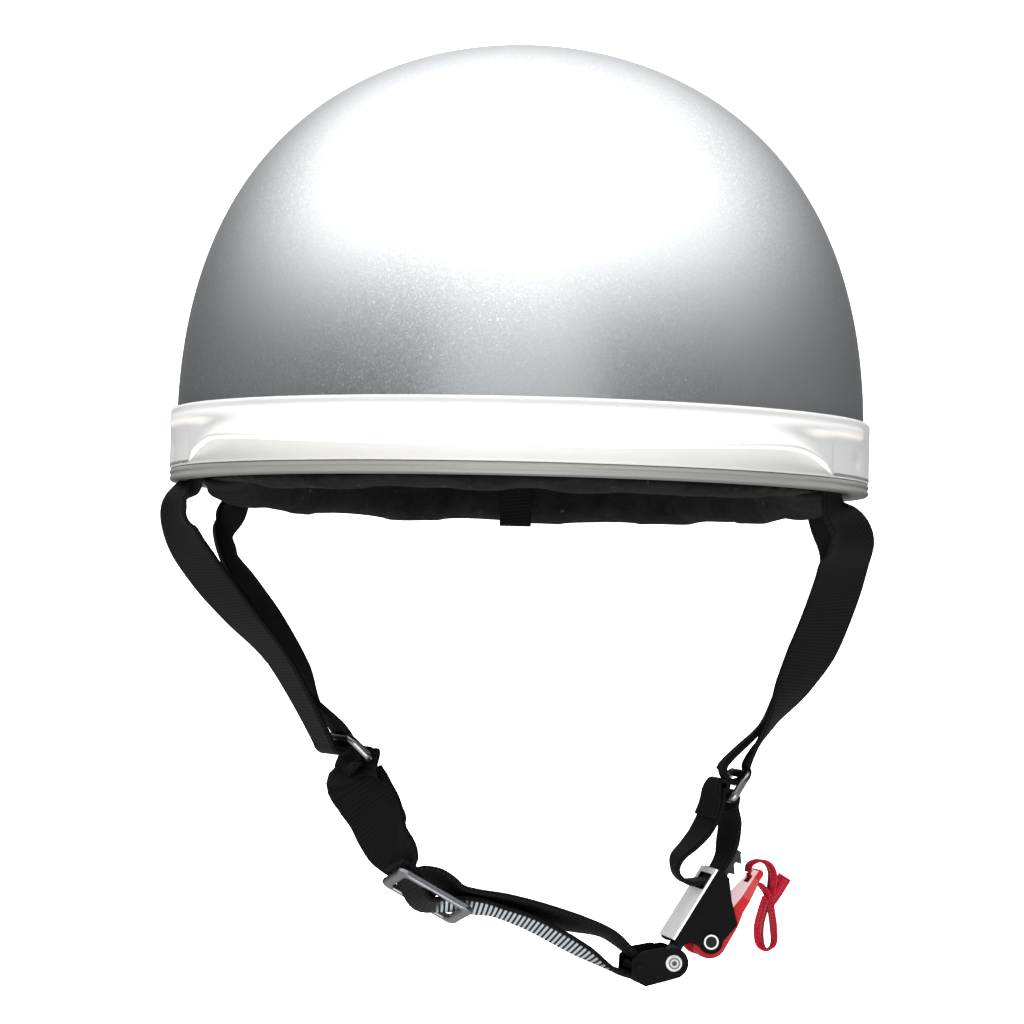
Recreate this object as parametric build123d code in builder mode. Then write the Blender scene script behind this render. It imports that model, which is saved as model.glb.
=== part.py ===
from build123d import *
import os
from math import asin, atan2, cos, degrees, radians, sin

# Half shell motorcycle helmet, millimetres, +Z up, the wearer looking along -Y.
# The origin is the centre of the head opening, in the plane of the shell's rim.

# Driving dimensions of the shell
SHELL_HALF_WIDTH = 106.5
SHELL_LENGTH_RATIO = 1.18
SHELL_TOP = 138.5
SHELL_WALL = 2.5
SPRING_LINE = 10.0
DOME_FULLNESS = 0.64
GLUE_GAP = 0.2
FOAM_GAP = 0.6

# Soft white band with its short peak: angle from the front, reach and height of the lip
BAND_WALL = 1.7
BAND_BOTTOM = 3.9
BAND_TOP = 22.3
PEAK_ROOT = 17.5
PEAK_SHEET = 2.0
PEAK_SECTIONS = (
    (0, 26.0, 8.0),
    (15, 25.2, 8.3),
    (30, 22.5, 9.3),
    (42, 18.5, 10.6),
    (52, 13.0, 11.2),
    (60, 7.5, 9.8),
    (67, 2.4, 6.0),
)

# Double bead trim over the rim
TRIM_BEAD = 1.3
TRIM_WALL = 1.2
TRIM_BOTTOM = -1.6

# Foam and linings
FOAM_BOTTOM = 2.4
FOAM_RIM_HALF_WIDTH = 90.0
FOAM_CROWN_TOP = 114.0
FOAM_REBATE_HALF_WIDTH = 98.6
FOAM_REBATE_TOP = 26.0
LINING_SHEET = 1.6
LINING_BOTTOM = 36.0
PAD_TOP = 34.0
PAD_THICKNESS = 9.5
PAD_OUTER = 98.5
FRONT_PAD_BOTTOM = -4.6
REAR_PAD_BOTTOM = -8.2
FRONT_PAD_HALF_ANGLE = 76.0
PAD_GAP_ANGLE = 2.0
CROWN_PAD_RADIUS = 42.0
CROWN_PAD_HEIGHT = 8.0
CROWN_PAD_GAP = 1.0
CROWN_PAD_DROP = 9.0
TAB_SIZE = (10.5, 1.5, 14.0)
TAB_X = -6.0

# Webbing and its anchors on the shell
WEBBING_WIDTH = 20.0
WEBBING = 1.7
STRAP_INSET = 101.0
STRAP_END_HEIGHTS = (21.0, 2.0, -2.2)
ANCHOR_RIVET_HEIGHT = 13.0
ANCHOR_RIVET_RADIUS = 2.2
ANCHOR_HEAD_RADIUS = 4.0
PLATE_SIZE = (15.0, 12.0, 1.0)
FRONT_ANCHOR_Y = -36.0
REAR_ANCHOR_Y = 44.0

# Upright plane of the chin strap and the buckle, turned from the frontal plane
CHIN_TURN = 11.5
CHIN_ORIGIN = (45.0, -14.0)

# Wire rings: the places of their two bars
RING_WIRE = 1.25
RING_LENGTH = 25.6
RING_CORNER = 2.2
LEFT_RING_TURN = 22.0
LEFT_RING_UPPER = (-53.9, -8.0, -77.9)
LEFT_RING_LOWER = (-47.9, -5.6, -83.9)
RIGHT_RING_UPPER = (25.6, -86.0)
RIGHT_RING_LOWER = (21.2, -93.6)

# Length slider
SLIDER_CENTRE = (-70.2, -125.0)
SLIDER_ANGLE = -29.0
SLIDER_LENGTH = 24.6
SLIDER_WIDTH = 26.0
SLIDER_THICKNESS = 2.2
SLIDER_END_BAR = 3.2
SLIDER_SIDE_BAR = 2.4
SLIDER_MIDDLE_BAR = 2.6

# Ratchet buckle, in its own plane: x along the tongue, y towards the neck
PIVOT = (15.6, -137.1)
TONGUE_ANGLE = 58.8
CHEEK_INSIDE = 10.6
CHEEK_WALL = 1.2
CHEEK_LOBE = 3.7
BASE_INNER = 8.9
BASE_WALL = 0.9
BACK_PLATE = 0.6
HOUSING_START = -6.0
HOUSING_END = 20.6
SLOT_START = 12.2
SLOT_END = 17.8
PIN_RADIUS = 1.7
PIN_HEAD_RADIUS = 2.5
PIN_HEAD = 0.8
RUNNING_GAP = 0.08
HUB_RADIUS = 5.2
HUB_INSIDE = 6.2
SLEEVE_RADIUS = 2.7
SLEEVE_HALF = 3.2
PAWL_REACH = 3.0
LEVER_HALF_WIDTH = 10.2
LEVER_TIP_HALF_WIDTH = 6.5
LEVER_SLOT = (21.8, 24.4)
LEVER_SLOT_HALF_WIDTH = 3.4
TIP_BAR = (25.8, -3.1)
TONGUE_HALF_WIDTH = 7.6
TONGUE_TOP = 7.0
TONGUE_BODY = 1.4
TONGUE_END = 28.4
TOOTH_TIP = 3.3
TOOTH_PITCH = 3.9
TOOTH_HALF_WIDTH = 5.6
FIRST_TOOTH = -1.9
TOOTH_COUNT = 8
SPRING_WIRE = 0.25
SPRING_RADIUS = 2.15
SPRING_PITCH = 0.62
SPRING_TURNS = 3.5

# Strap end bracket, measured from the rivet
RIVET = (-11.5, 6.3)
RIVET_RADIUS = 1.6
RIVET_EYE = 3.0
BRACKET_LOBE = 4.6
BRACKET_BAR = (-10.4, -1.8)
BRACKET_BAR_RADIUS = 1.6

RIVET_HEAD_RADIUS = 1.9
RIVET_HEAD = 0.7
WASHER_RADIUS = 2.5
WASHER = 0.5
SPACER_RADIUS = 2.4

# Buckle strap
BUCKLE_STRAP_WIDTH = 19.6
BUCKLE_STRAP = 1.4
BUCKLE_STRAP_LEFT = [
    (14.2, -95.0),
    (12.8, -100.5),
    (9.6, -105.4),
    (6.0, -109.2),
    (4.6, -112.4),
    (4.9, -115.6),
    (7.0, -118.8),
]
BUCKLE_STRAP_IN_BUCKLE = [
    (12.4, 13.7),
    (14.0, 11.3),
    (14.9, 9.6),
    (16.4, 8.35),
    (18.4, 8.05),
    (20.6, 8.05),
    (22.4, 8.8),
    (23.0, 10.6),
]
BUCKLE_STRAP_RIGHT = [(20.3, -108.0), (20.9, -102.5), (22.6, -97.6)]
BUCKLE_STRAP_FOLD = [(17.8, -89.3), (15.4, -89.8), (14.4, -92.0), (14.3, -94.6)]

# Pull ribbon, its places measured from the centre of the lever's tip bar
RIBBON_WIDTH = 4.4
RIBBON = 1.3
RIBBON_STRAND_WIDTH = 2.4
RIBBON_EYE = 2.0
RIBBON_STRAND = [(2.7, 2.2), (4.7, 0.6), (5.1, -3.0), (4.3, -7.4)]
RIBBON_LOOP_LEFT = [(4.3, -7.4), (1.4, -12.5), (0.8, -19.0), (2.0, -22.6), (4.2, -23.7)]
RIBBON_LOOP_RIGHT = [(4.2, -23.7), (6.0, -21.5), (6.3, -15.5), (5.9, -11.0), (4.3, -7.4)]
RIBBON_TAIL = [(4.4, -7.0), (8.6, -1.4)]

os.makedirs("parts", exist_ok=True)


def save(block, label):
    """Label one finished piece and write its STEP file."""
    block.part.label = label
    export_step(block.part, f"parts/{label}.step")


def dome_curve(half_width, top):
    """Curve of a dome's half profile, upright at the spring line and level at the crown."""
    rise = DOME_FULLNESS * (top - SPRING_LINE)
    Bezier(
        (half_width, SPRING_LINE),
        (half_width, SPRING_LINE + rise),
        (DOME_FULLNESS * half_width, top),
        (0, top),
    )


def dome_wall(outer, inner, bottom):
    """Oval dome between two half profiles, each given as half width and top."""
    with BuildPart() as wall:
        with BuildSketch(Plane.XZ):
            with BuildLine():
                Line((outer[0], bottom), (outer[0], SPRING_LINE))
                dome_curve(*outer)
                Line((0, outer[1]), (0, inner[1]))
                dome_curve(*inner)
                Line((inner[0], SPRING_LINE), (inner[0], bottom))
                Line((inner[0], bottom), (outer[0], bottom))
            make_face()
        revolve(axis=Axis.Z)
        lengthen()
    return wall.part


def lengthen():
    """Stretch a round form front to back into the helmet's oval."""
    scale(by=(1, SHELL_LENGTH_RATIO, 1))


def radial_plane(angle, origin=(0, 0, 0)):
    """Upright plane whose x points outward, the angle measured from the front centre."""
    outward = (sin(radians(angle)), -cos(radians(angle)), 0)
    return Plane(origin=origin, x_dir=outward, z_dir=(outward[1], -outward[0], 0))


def oval_section(angle, half_width):
    """Upright plane square to the oval wall, its origin on the wall at the rim's height."""
    x = half_width * sin(radians(angle))
    y = -half_width * SHELL_LENGTH_RATIO * cos(radians(angle))
    facing = degrees(atan2(x * SHELL_LENGTH_RATIO**2, -y))
    return radial_plane(facing, (x, y, 0))


def rim_station(side, y, z):
    """Webbing station lying flat inside the shell's wall: x, y, z and turn."""
    swing = asin(y / (STRAP_INSET * SHELL_LENGTH_RATIO))
    turn = -side * degrees(atan2(sin(swing), SHELL_LENGTH_RATIO * cos(swing)))
    return (side * STRAP_INSET * cos(swing), y, z, turn)


def chin_point(along, height):
    """Place in the chin strap's plane as x, y and z."""
    x = CHIN_ORIGIN[0] + along * cos(radians(CHIN_TURN))
    y = CHIN_ORIGIN[1] + along * sin(radians(CHIN_TURN))
    return (x, y, height)


def chin_station(along, height):
    """Webbing station in the chin strap's plane."""
    return (*chin_point(along, height), -CHIN_TURN)


def round_bar(bar, turn, radius, start, end, steps):
    """Stations that lead the webbing round an upright-plane bar, from one angle to another."""
    stations = []
    for step in range(steps + 1):
        angle = radians(start + (end - start) * step / steps)
        aside = radius * cos(angle)
        x = bar[0] + aside * cos(radians(turn))
        y = bar[1] + aside * sin(radians(turn))
        stations.append((x, y, bar[2] + radius * sin(angle), -turn))
    return stations


def webbing(route, width=WEBBING_WIDTH, thickness=WEBBING, ruled=False):
    """Loft a flat strap through the stations of its route."""
    with BuildPart() as strap:
        for index, (x, y, z, turn) in enumerate(route):
            before = Vector(*route[max(index - 1, 0)][:3])
            after = Vector(*route[min(index + 1, len(route) - 1)][:3])
            run = (after - before).normalized()
            across = Vector(sin(radians(turn)), cos(radians(turn)), 0)
            across = (across - run * across.dot(run)).normalized()
            with BuildSketch(Plane(origin=(x, y, z), x_dir=across, z_dir=run)):
                Rectangle(width, thickness)
        loft(ruled=ruled)
    return strap.part


# Planes of the chin strap, the slider, the buckle and the bracket, their z towards the front
chin_plane = Plane(
    origin=chin_point(0, 0),
    x_dir=(cos(radians(CHIN_TURN)), sin(radians(CHIN_TURN)), 0),
    z_dir=(sin(radians(CHIN_TURN)), -cos(radians(CHIN_TURN)), 0),
)


def plane_in(parent, place, angle):
    """Plane at a place of another plane, turned about the same z."""
    run = parent.x_dir * cos(radians(angle)) + parent.y_dir * sin(radians(angle))
    return Plane(origin=parent.from_local_coords((*place, 0)), x_dir=run, z_dir=parent.z_dir)


slider_plane = plane_in(chin_plane, SLIDER_CENTRE, SLIDER_ANGLE)
buckle_plane = plane_in(chin_plane, PIVOT, TONGUE_ANGLE)
bracket_plane = plane_in(buckle_plane, RIVET, -TONGUE_ANGLE)
lever_top_plane = Plane(buckle_plane.origin, x_dir=buckle_plane.x_dir, z_dir=buckle_plane.y_dir)
inner_half_width = SHELL_HALF_WIDTH - SHELL_WALL
anchor_places = [(side, y) for side in (-1, 1) for y in (FRONT_ANCHOR_Y, REAR_ANCHOR_Y)]


def anchor_plane(side, y, depth):
    """Plane on an anchor's axis: z outward, its origin the given depth outside the webbing."""
    x, y, z, turn = rim_station(side, y, ANCHOR_RIVET_HEIGHT)
    outward = Vector(side * cos(radians(turn)), -side * sin(radians(turn)), 0)
    return Plane(origin=Vector(x, y, z) + outward * depth, x_dir=(0, 0, 1), z_dir=outward)


# Painted shell
with BuildPart() as outer_shell:
    add(dome_wall((SHELL_HALF_WIDTH, SHELL_TOP), (inner_half_width, SHELL_TOP - SHELL_WALL), bottom=0))
    for side, y in anchor_places:
        with BuildSketch(anchor_plane(side, y, 0)):
            Circle(ANCHOR_RIVET_RADIUS)
        extrude(amount=12, mode=Mode.SUBTRACT)
save(outer_shell, "outer_shell")

# White band, one moulding with the peak
band_inner = SHELL_HALF_WIDTH + GLUE_GAP
with BuildPart() as peak:
    for angle, reach, lip in PEAK_SECTIONS:
        with BuildSketch(oval_section(angle, band_inner + BAND_WALL)):
            with BuildLine():
                root = (-BAND_WALL / 2, PEAK_ROOT)
                underside = (-BAND_WALL / 2, PEAK_ROOT - PEAK_SHEET - 1)
                Spline(root, (reach, lip + PEAK_SHEET / 2), tangents=((0.5, -0.6), (1, -0.1)))
                Line((reach, lip + PEAK_SHEET / 2), (reach, lip - PEAK_SHEET / 2))
                Spline((reach, lip - PEAK_SHEET / 2), underside, tangents=((-1, 0.1), (-0.5, 0.6)))
                Line(underside, root)
            make_face()
    loft()
    mirror(about=Plane.YZ)
with BuildPart() as visor_band:
    with BuildSketch(Plane.XZ):
        with Locations((band_inner, BAND_BOTTOM)):
            Rectangle(BAND_WALL, BAND_TOP - BAND_BOTTOM, align=Align.MIN)
    revolve(axis=Axis.Z)
    lengthen()
    add(peak.part)
save(visor_band, "visor_band")

# Double bead trim that grips the rim
with BuildPart() as edge_trim:
    with BuildSketch(Plane.XZ):
        with Locations((inner_half_width - TRIM_WALL, TRIM_BOTTOM)):
            Rectangle(band_inner + TRIM_WALL - inner_half_width + TRIM_WALL, TRIM_WALL, align=Align.MIN)
            Rectangle(TRIM_WALL - GLUE_GAP, 3.8, align=Align.MIN)
        with Locations((band_inner, TRIM_BOTTOM)):
            Rectangle(TRIM_WALL, BAND_BOTTOM - TRIM_BOTTOM - GLUE_GAP, align=Align.MIN)
        bead_centre = band_inner + TRIM_WALL - TRIM_BEAD / 2
        for height in (TRIM_BOTTOM + TRIM_BEAD, BAND_BOTTOM - GLUE_GAP - TRIM_BEAD):
            with Locations((bead_centre, height)):
                Circle(TRIM_BEAD)
        with Locations((band_inner, 0)):
            Rectangle(TRIM_BEAD, BAND_BOTTOM, align=(Align.MAX, Align.MIN), mode=Mode.SUBTRACT)
    revolve(axis=Axis.Z)
    lengthen()
save(edge_trim, "edge_trim")

# Foam that takes the blow, stepped back at the rim to leave room for the strap anchors
foam_outer = (inner_half_width - FOAM_GAP, SHELL_TOP - SHELL_WALL - FOAM_GAP)
with BuildPart() as impact_liner:
    add(dome_wall(foam_outer, (FOAM_RIM_HALF_WIDTH, FOAM_CROWN_TOP), bottom=FOAM_BOTTOM))
    with BuildSketch(Plane.XZ):
        with Locations((FOAM_REBATE_HALF_WIDTH, 0)):
            Rectangle(SHELL_HALF_WIDTH, FOAM_REBATE_TOP, align=Align.MIN)
    revolve(axis=Axis.Z, mode=Mode.SUBTRACT)
save(impact_liner, "impact_liner")

# Cloth lining inside the foam's crown
lining_outer = (FOAM_RIM_HALF_WIDTH - FOAM_GAP, FOAM_CROWN_TOP - FOAM_GAP)
lining_inner = (lining_outer[0] - LINING_SHEET, lining_outer[1] - LINING_SHEET)
with BuildPart() as crown_lining:
    add(dome_wall(lining_outer, lining_inner, bottom=0))
    split(bisect_by=Plane.XY.offset(LINING_BOTTOM), keep=Keep.TOP)
save(crown_lining, "crown_lining")

# Crown pad under the lining: a crowned disc with a thin edge
crown_pad_top = lining_inner[1] - CROWN_PAD_GAP
upper_edge = (CROWN_PAD_RADIUS, crown_pad_top - CROWN_PAD_DROP)
lower_edge = (CROWN_PAD_RADIUS - 2, crown_pad_top - CROWN_PAD_DROP - 2)
crown_pad_under = (0, crown_pad_top - CROWN_PAD_HEIGHT)
with BuildPart() as crown_pad:
    with BuildSketch(Plane.XZ):
        with BuildLine():
            TangentArc((0, crown_pad_top), upper_edge, tangent=(1, 0))
            Line(upper_edge, lower_edge)
            TangentArc(crown_pad_under, lower_edge, tangent=(1, 0))
            Line(crown_pad_under, (0, crown_pad_top))
        make_face()
    revolve(axis=Axis.Z)
save(crown_pad, "crown_pad")


def headband_pad(start, sweep_angle, bottom):
    """Padded headband arc: upright inside the foam, rolled out below the foam's rim."""
    pad_back = FOAM_RIM_HALF_WIDTH - GLUE_GAP
    pad_face = FOAM_RIM_HALF_WIDTH - PAD_THICKNESS
    under_foam = FOAM_BOTTOM - 2 * GLUE_GAP
    with BuildPart() as pad:
        with BuildSketch(radial_plane(start)):
            with BuildLine():
                Line((pad_back, under_foam), (PAD_OUTER, under_foam))
                Line((PAD_OUTER, under_foam), (PAD_OUTER, 0))
                ThreePointArc((PAD_OUTER, 0), (PAD_OUTER - 3.2, bottom + 1.2), (pad_back, bottom))
                ThreePointArc((pad_back, bottom), (pad_face + 1.6, bottom + 2.6), (pad_face, bottom + 9))
                Line((pad_face, bottom + 9), (pad_face, PAD_TOP - 6))
                shoulder = (pad_face + 1.6, PAD_TOP - 1.4)
                ThreePointArc((pad_face, PAD_TOP - 6), shoulder, (pad_face + 5, PAD_TOP))
                Line((pad_face + 5, PAD_TOP), (pad_back - 1.7, PAD_TOP))
                Line((pad_back - 1.7, PAD_TOP), (pad_back, SPRING_LINE))
                Line((pad_back, SPRING_LINE), (pad_back, under_foam))
            make_face()
        revolve(axis=Axis.Z, revolution_arc=sweep_angle)
        lengthen()
    return pad.part


with BuildPart() as front_headband_pad:
    add(headband_pad(-FRONT_PAD_HALF_ANGLE, 2 * FRONT_PAD_HALF_ANGLE, FRONT_PAD_BOTTOM))
save(front_headband_pad, "front_headband_pad")

rear_start = FRONT_PAD_HALF_ANGLE + PAD_GAP_ANGLE
with BuildPart() as rear_headband_pad:
    add(headband_pad(rear_start, 360 - 2 * rear_start, REAR_PAD_BOTTOM))
save(rear_headband_pad, "rear_headband_pad")

# Small tab sewn inside the rear of the headband
tab_y = (FOAM_RIM_HALF_WIDTH - PAD_THICKNESS - 1) * SHELL_LENGTH_RATIO - TAB_SIZE[1]
with BuildPart() as nape_tab:
    with Locations((TAB_X, tab_y, REAR_PAD_BOTTOM - 0.6)):
        Box(*TAB_SIZE, align=(Align.CENTER, Align.CENTER, Align.MIN))
    fillet(nape_tab.edges().filter_by(Axis.Y), 0.6)
save(nape_tab, "nape_tab")

# Anchor plates between the webbing and the shell, and the rivets through them
with BuildPart() as strap_anchor_plates:
    for side, y in anchor_places:
        with BuildSketch(anchor_plane(side, y, 1.15)):
            RectangleRounded(PLATE_SIZE[1], PLATE_SIZE[0], 2)
            Circle(ANCHOR_RIVET_RADIUS, mode=Mode.SUBTRACT)
        extrude(amount=PLATE_SIZE[2])
save(strap_anchor_plates, "strap_anchor_plates")

with BuildPart() as strap_anchor_rivets:
    for side, y in anchor_places:
        with BuildSketch(anchor_plane(side, y, -WEBBING / 2 - 1.2)):
            Circle(ANCHOR_HEAD_RADIUS)
        extrude(amount=1.15)
        with BuildSketch(anchor_plane(side, y, -WEBBING / 2)):
            Circle(ANCHOR_RIVET_RADIUS)
        extrude(amount=5.6)
save(strap_anchor_rivets, "strap_anchor_rivets")

# Ear straps: one webbing a side, from the front anchor round the ring and up to the rear anchor
eye_radius = RING_WIRE + 0.5 + WEBBING / 2
right_ring_upper = chin_point(*RIGHT_RING_UPPER)
LEFT_FRONT_ROUTE = [
    (-97.0, -35.6, -5.0, -19),
    (-100.6, -34.2, -9.4, -28),
    (-102.0, -31.6, -14.0, -41),
    (-99.4, -27.5, -20.5, -50),
    (-93.6, -22.5, -29.5, -50),
    (-83.6, -17.0, -41.5, -41),
    (-71.0, -12.0, -57.0, -28),
]
LEFT_REAR_ROUTE = [
    (-62.8, -3.5, -66.5, -16),
    (-70.5, 3.0, -54.0, -2),
    (-81.0, 13.0, -39.5, 8),
    (-89.0, 22.0, -29.0, 12),
    (-94.5, 31.0, -20.0, 14),
    (-96.6, 39.4, -11.0, 16),
    (-94.6, 43.2, -5.4, 17),
]
RIGHT_FRONT_ROUTE = [
    (96.9, -35.5, -5.0, 20),
    (99.6, -33.6, -9.6, 30),
    (101.6, -29.0, -15.6, 42),
    (100.4, -23.0, -22.5, 47),
    (97.6, -18.0, -32.5, 50),
    (92.6, -14.0, -46.0, 50),
    (86.0, -11.5, -59.0, 34),
    (79.8, -10.5, -70.0, 8),
]
RIGHT_REAR_ROUTE = [
    (77.0, -3.0, -71.0, -2),
    (83.0, 6.0, -59.0, -2),
    (90.0, 17.0, -44.0, -6),
    (95.5, 28.0, -29.5, -10),
    (97.6, 37.2, -16.0, -14),
    (94.8, 42.6, -6.0, -17),
]


def ear_strap(side, front_route, round_ring, rear_route):
    """Ear strap of one side, straight inside the rim, with its two rivet holes."""
    down = [rim_station(side, FRONT_ANCHOR_Y, height) for height in STRAP_END_HEIGHTS]
    up = [rim_station(side, REAR_ANCHOR_Y, height) for height in reversed(STRAP_END_HEIGHTS)]
    with BuildPart() as strap:
        add(webbing(down + front_route + round_ring + rear_route + up, ruled=True))
        for y in (FRONT_ANCHOR_Y, REAR_ANCHOR_Y):
            with BuildSketch(anchor_plane(side, y, -WEBBING)):
                Circle(ANCHOR_RIVET_RADIUS)
            extrude(amount=2 * WEBBING, mode=Mode.SUBTRACT)
    return strap.part


left_round = round_bar(LEFT_RING_UPPER, LEFT_RING_TURN, eye_radius, 200, 400, 7)
with BuildPart() as left_ear_strap:
    add(ear_strap(-1, LEFT_FRONT_ROUTE, left_round, LEFT_REAR_ROUTE))
save(left_ear_strap, "left_ear_strap")

right_round = round_bar(right_ring_upper, CHIN_TURN, eye_radius + 0.9, 20, -200, 8)
with BuildPart() as right_ear_strap:
    add(ear_strap(1, RIGHT_FRONT_ROUTE, right_round, RIGHT_REAR_ROUTE))
save(right_ear_strap, "right_ear_strap")


def wire_ring(upper, lower, turn):
    """Rectangular wire ring whose long bars pass through two places."""
    across = Vector(sin(radians(-turn)), cos(radians(turn)), 0)
    drop = Vector(*lower) - Vector(*upper)
    centre = (Vector(*upper) + Vector(*lower)) * 0.5
    half_length = RING_LENGTH / 2
    half_drop = drop.length / 2
    corners = [(half_length, half_drop), (-half_length, half_drop)]
    corners += [(-half_length, -half_drop), (half_length, -half_drop)]
    with BuildPart() as ring:
        with BuildLine(Plane(origin=centre, x_dir=across, z_dir=across.cross(drop))) as frame:
            FilletPolyline(*corners, radius=RING_CORNER, close=True)
        with BuildSketch(Plane(origin=frame.line @ 0, z_dir=frame.line % 0)):
            Circle(RING_WIRE)
        sweep()
    return ring.part


with BuildPart() as left_ring:
    add(wire_ring(LEFT_RING_UPPER, LEFT_RING_LOWER, LEFT_RING_TURN))
save(left_ring, "left_ring")

with BuildPart() as right_ring:
    add(wire_ring(right_ring_upper, chin_point(*RIGHT_RING_LOWER), CHIN_TURN))
save(right_ring, "right_ring")

# Chin strap: sewn round the left ring, over the slider, round the bracket's bar and back
# through the slider
bracket_bar_place = bracket_plane.from_local_coords((*BRACKET_BAR, 0))
bracket_bar_point = (bracket_bar_place.X, bracket_bar_place.Y, bracket_bar_place.Z)
bar_turn_radius = BRACKET_BAR_RADIUS + 0.4 + WEBBING / 2
UPPER_LAYER = [
    (-81.5, -112.5),
    (-73.5, -116.6),
    (-65.0, -120.4),
    (-57.0, -123.9),
    (-47.8, -125.2),
    (-39.2, -127.2),
    (-25.2, -130.9),
    (-14.0, -135.0),
]
LOWER_LAYER = [
    (-12.7, -146.6),
    (-22.0, -140.6),
    (-30.4, -134.8),
    (-38.4, -130.4),
    (-48.0, -127.7),
]
SLIDER_WEAVE = [(15, 4.8), (10.4, 3.0), (6.2, 0.7), (0, -2.5), (-6.2, 0.7), (-10.4, 3.0), (-14, 3.4)]
CHIN_DROP = [
    (-45.6, -7.4, -90.5, -32),
    (-45.2, -10.5, -97.0, -56),
    (-41.4, -16.0, -104.0, -50),
]


def weave_station(along, height):
    """Webbing station given in the slider's own plane."""
    place = slider_plane.from_local_coords((along, height, 0))
    return (place.X, place.Y, place.Z, -CHIN_TURN)


chin_route = (
    [(-50.6, -7.2, -88.6, -LEFT_RING_TURN)]
    + round_bar(LEFT_RING_LOWER, LEFT_RING_TURN, eye_radius + 0.2, 180, 0, 4)
    + CHIN_DROP
    + [chin_station(*place) for place in UPPER_LAYER]
    + round_bar(bracket_bar_point, CHIN_TURN, bar_turn_radius, 80, -110, 4)
    + [chin_station(*place) for place in LOWER_LAYER]
    + [weave_station(*place) for place in SLIDER_WEAVE]
)
with BuildPart() as chin_strap:
    add(webbing(chin_route))
save(chin_strap, "chin_strap")

# Length slider with its two slots
slot_length = (SLIDER_LENGTH - 2 * SLIDER_END_BAR - SLIDER_MIDDLE_BAR) / 2
with BuildPart() as length_slider:
    with BuildSketch(Plane(origin=slider_plane.origin, x_dir=slider_plane.x_dir, z_dir=slider_plane.y_dir)):
        RectangleRounded(SLIDER_LENGTH, SLIDER_WIDTH, 3)
        with Locations(*[(end * (SLIDER_MIDDLE_BAR + slot_length) / 2, 0) for end in (-1, 1)]):
            RectangleRounded(slot_length, SLIDER_WIDTH - 2 * SLIDER_SIDE_BAR, 1.2, mode=Mode.SUBTRACT)
    extrude(amount=SLIDER_THICKNESS / 2, both=True)
    fillet(length_slider.edges().filter_by(GeomType.CIRCLE).sort_by(SortBy.RADIUS)[-8:], 0.7)
save(length_slider, "length_slider")


# Buckle housing: two cheeks joined by the base, with a slot for the buckle strap
cheek_outside = CHEEK_INSIDE + CHEEK_WALL
base_outer = BASE_INNER + BASE_WALL
with BuildPart() as buckle_housing:
    with BuildSketch(buckle_plane):
        with BuildLine():
            FilletPolyline(
                (-2.6, -1.5),
                (2.0, -3.1),
                (8.8, -4.3),
                (14.0, 1.2),
                (19.4, 5.5),
                (HOUSING_END, base_outer),
                (HOUSING_START, base_outer),
                (HOUSING_START, 7.4),
                (-3.4, 5.0),
                radius=1.0,
                close=True,
            )
        make_face()
        Circle(CHEEK_LOBE)
        Circle(PIN_RADIUS, mode=Mode.SUBTRACT)
    extrude(amount=cheek_outside, both=True)
    with BuildSketch(buckle_plane):
        with Locations((0, BASE_INNER)):
            Rectangle(80, 40, align=(Align.CENTER, Align.MAX))
    extrude(amount=CHEEK_INSIDE, both=True, mode=Mode.SUBTRACT)
    with BuildSketch(buckle_plane):
        with Locations(((SLOT_START + SLOT_END) / 2, base_outer)):
            Rectangle(SLOT_END - SLOT_START, 4 * BASE_WALL)
    extrude(amount=CHEEK_INSIDE, both=True, mode=Mode.SUBTRACT)
save(buckle_housing, "buckle_housing")

# Bright plate on the housing's back
with BuildPart() as buckle_back_plate:
    with BuildSketch(buckle_plane):
        with Locations((HOUSING_START + 0.6, base_outer)):
            Rectangle(HOUSING_END - HOUSING_START - 1.6, BACK_PLATE, align=Align.MIN)
    extrude(amount=cheek_outside, both=True)
    with BuildSketch(buckle_plane):
        with Locations(((SLOT_START + SLOT_END) / 2, base_outer)):
            Rectangle(SLOT_END - SLOT_START, 4 * BACK_PLATE)
    extrude(amount=CHEEK_INSIDE - 0.3, both=True, mode=Mode.SUBTRACT)
save(buckle_back_plate, "buckle_back_plate")

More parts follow.
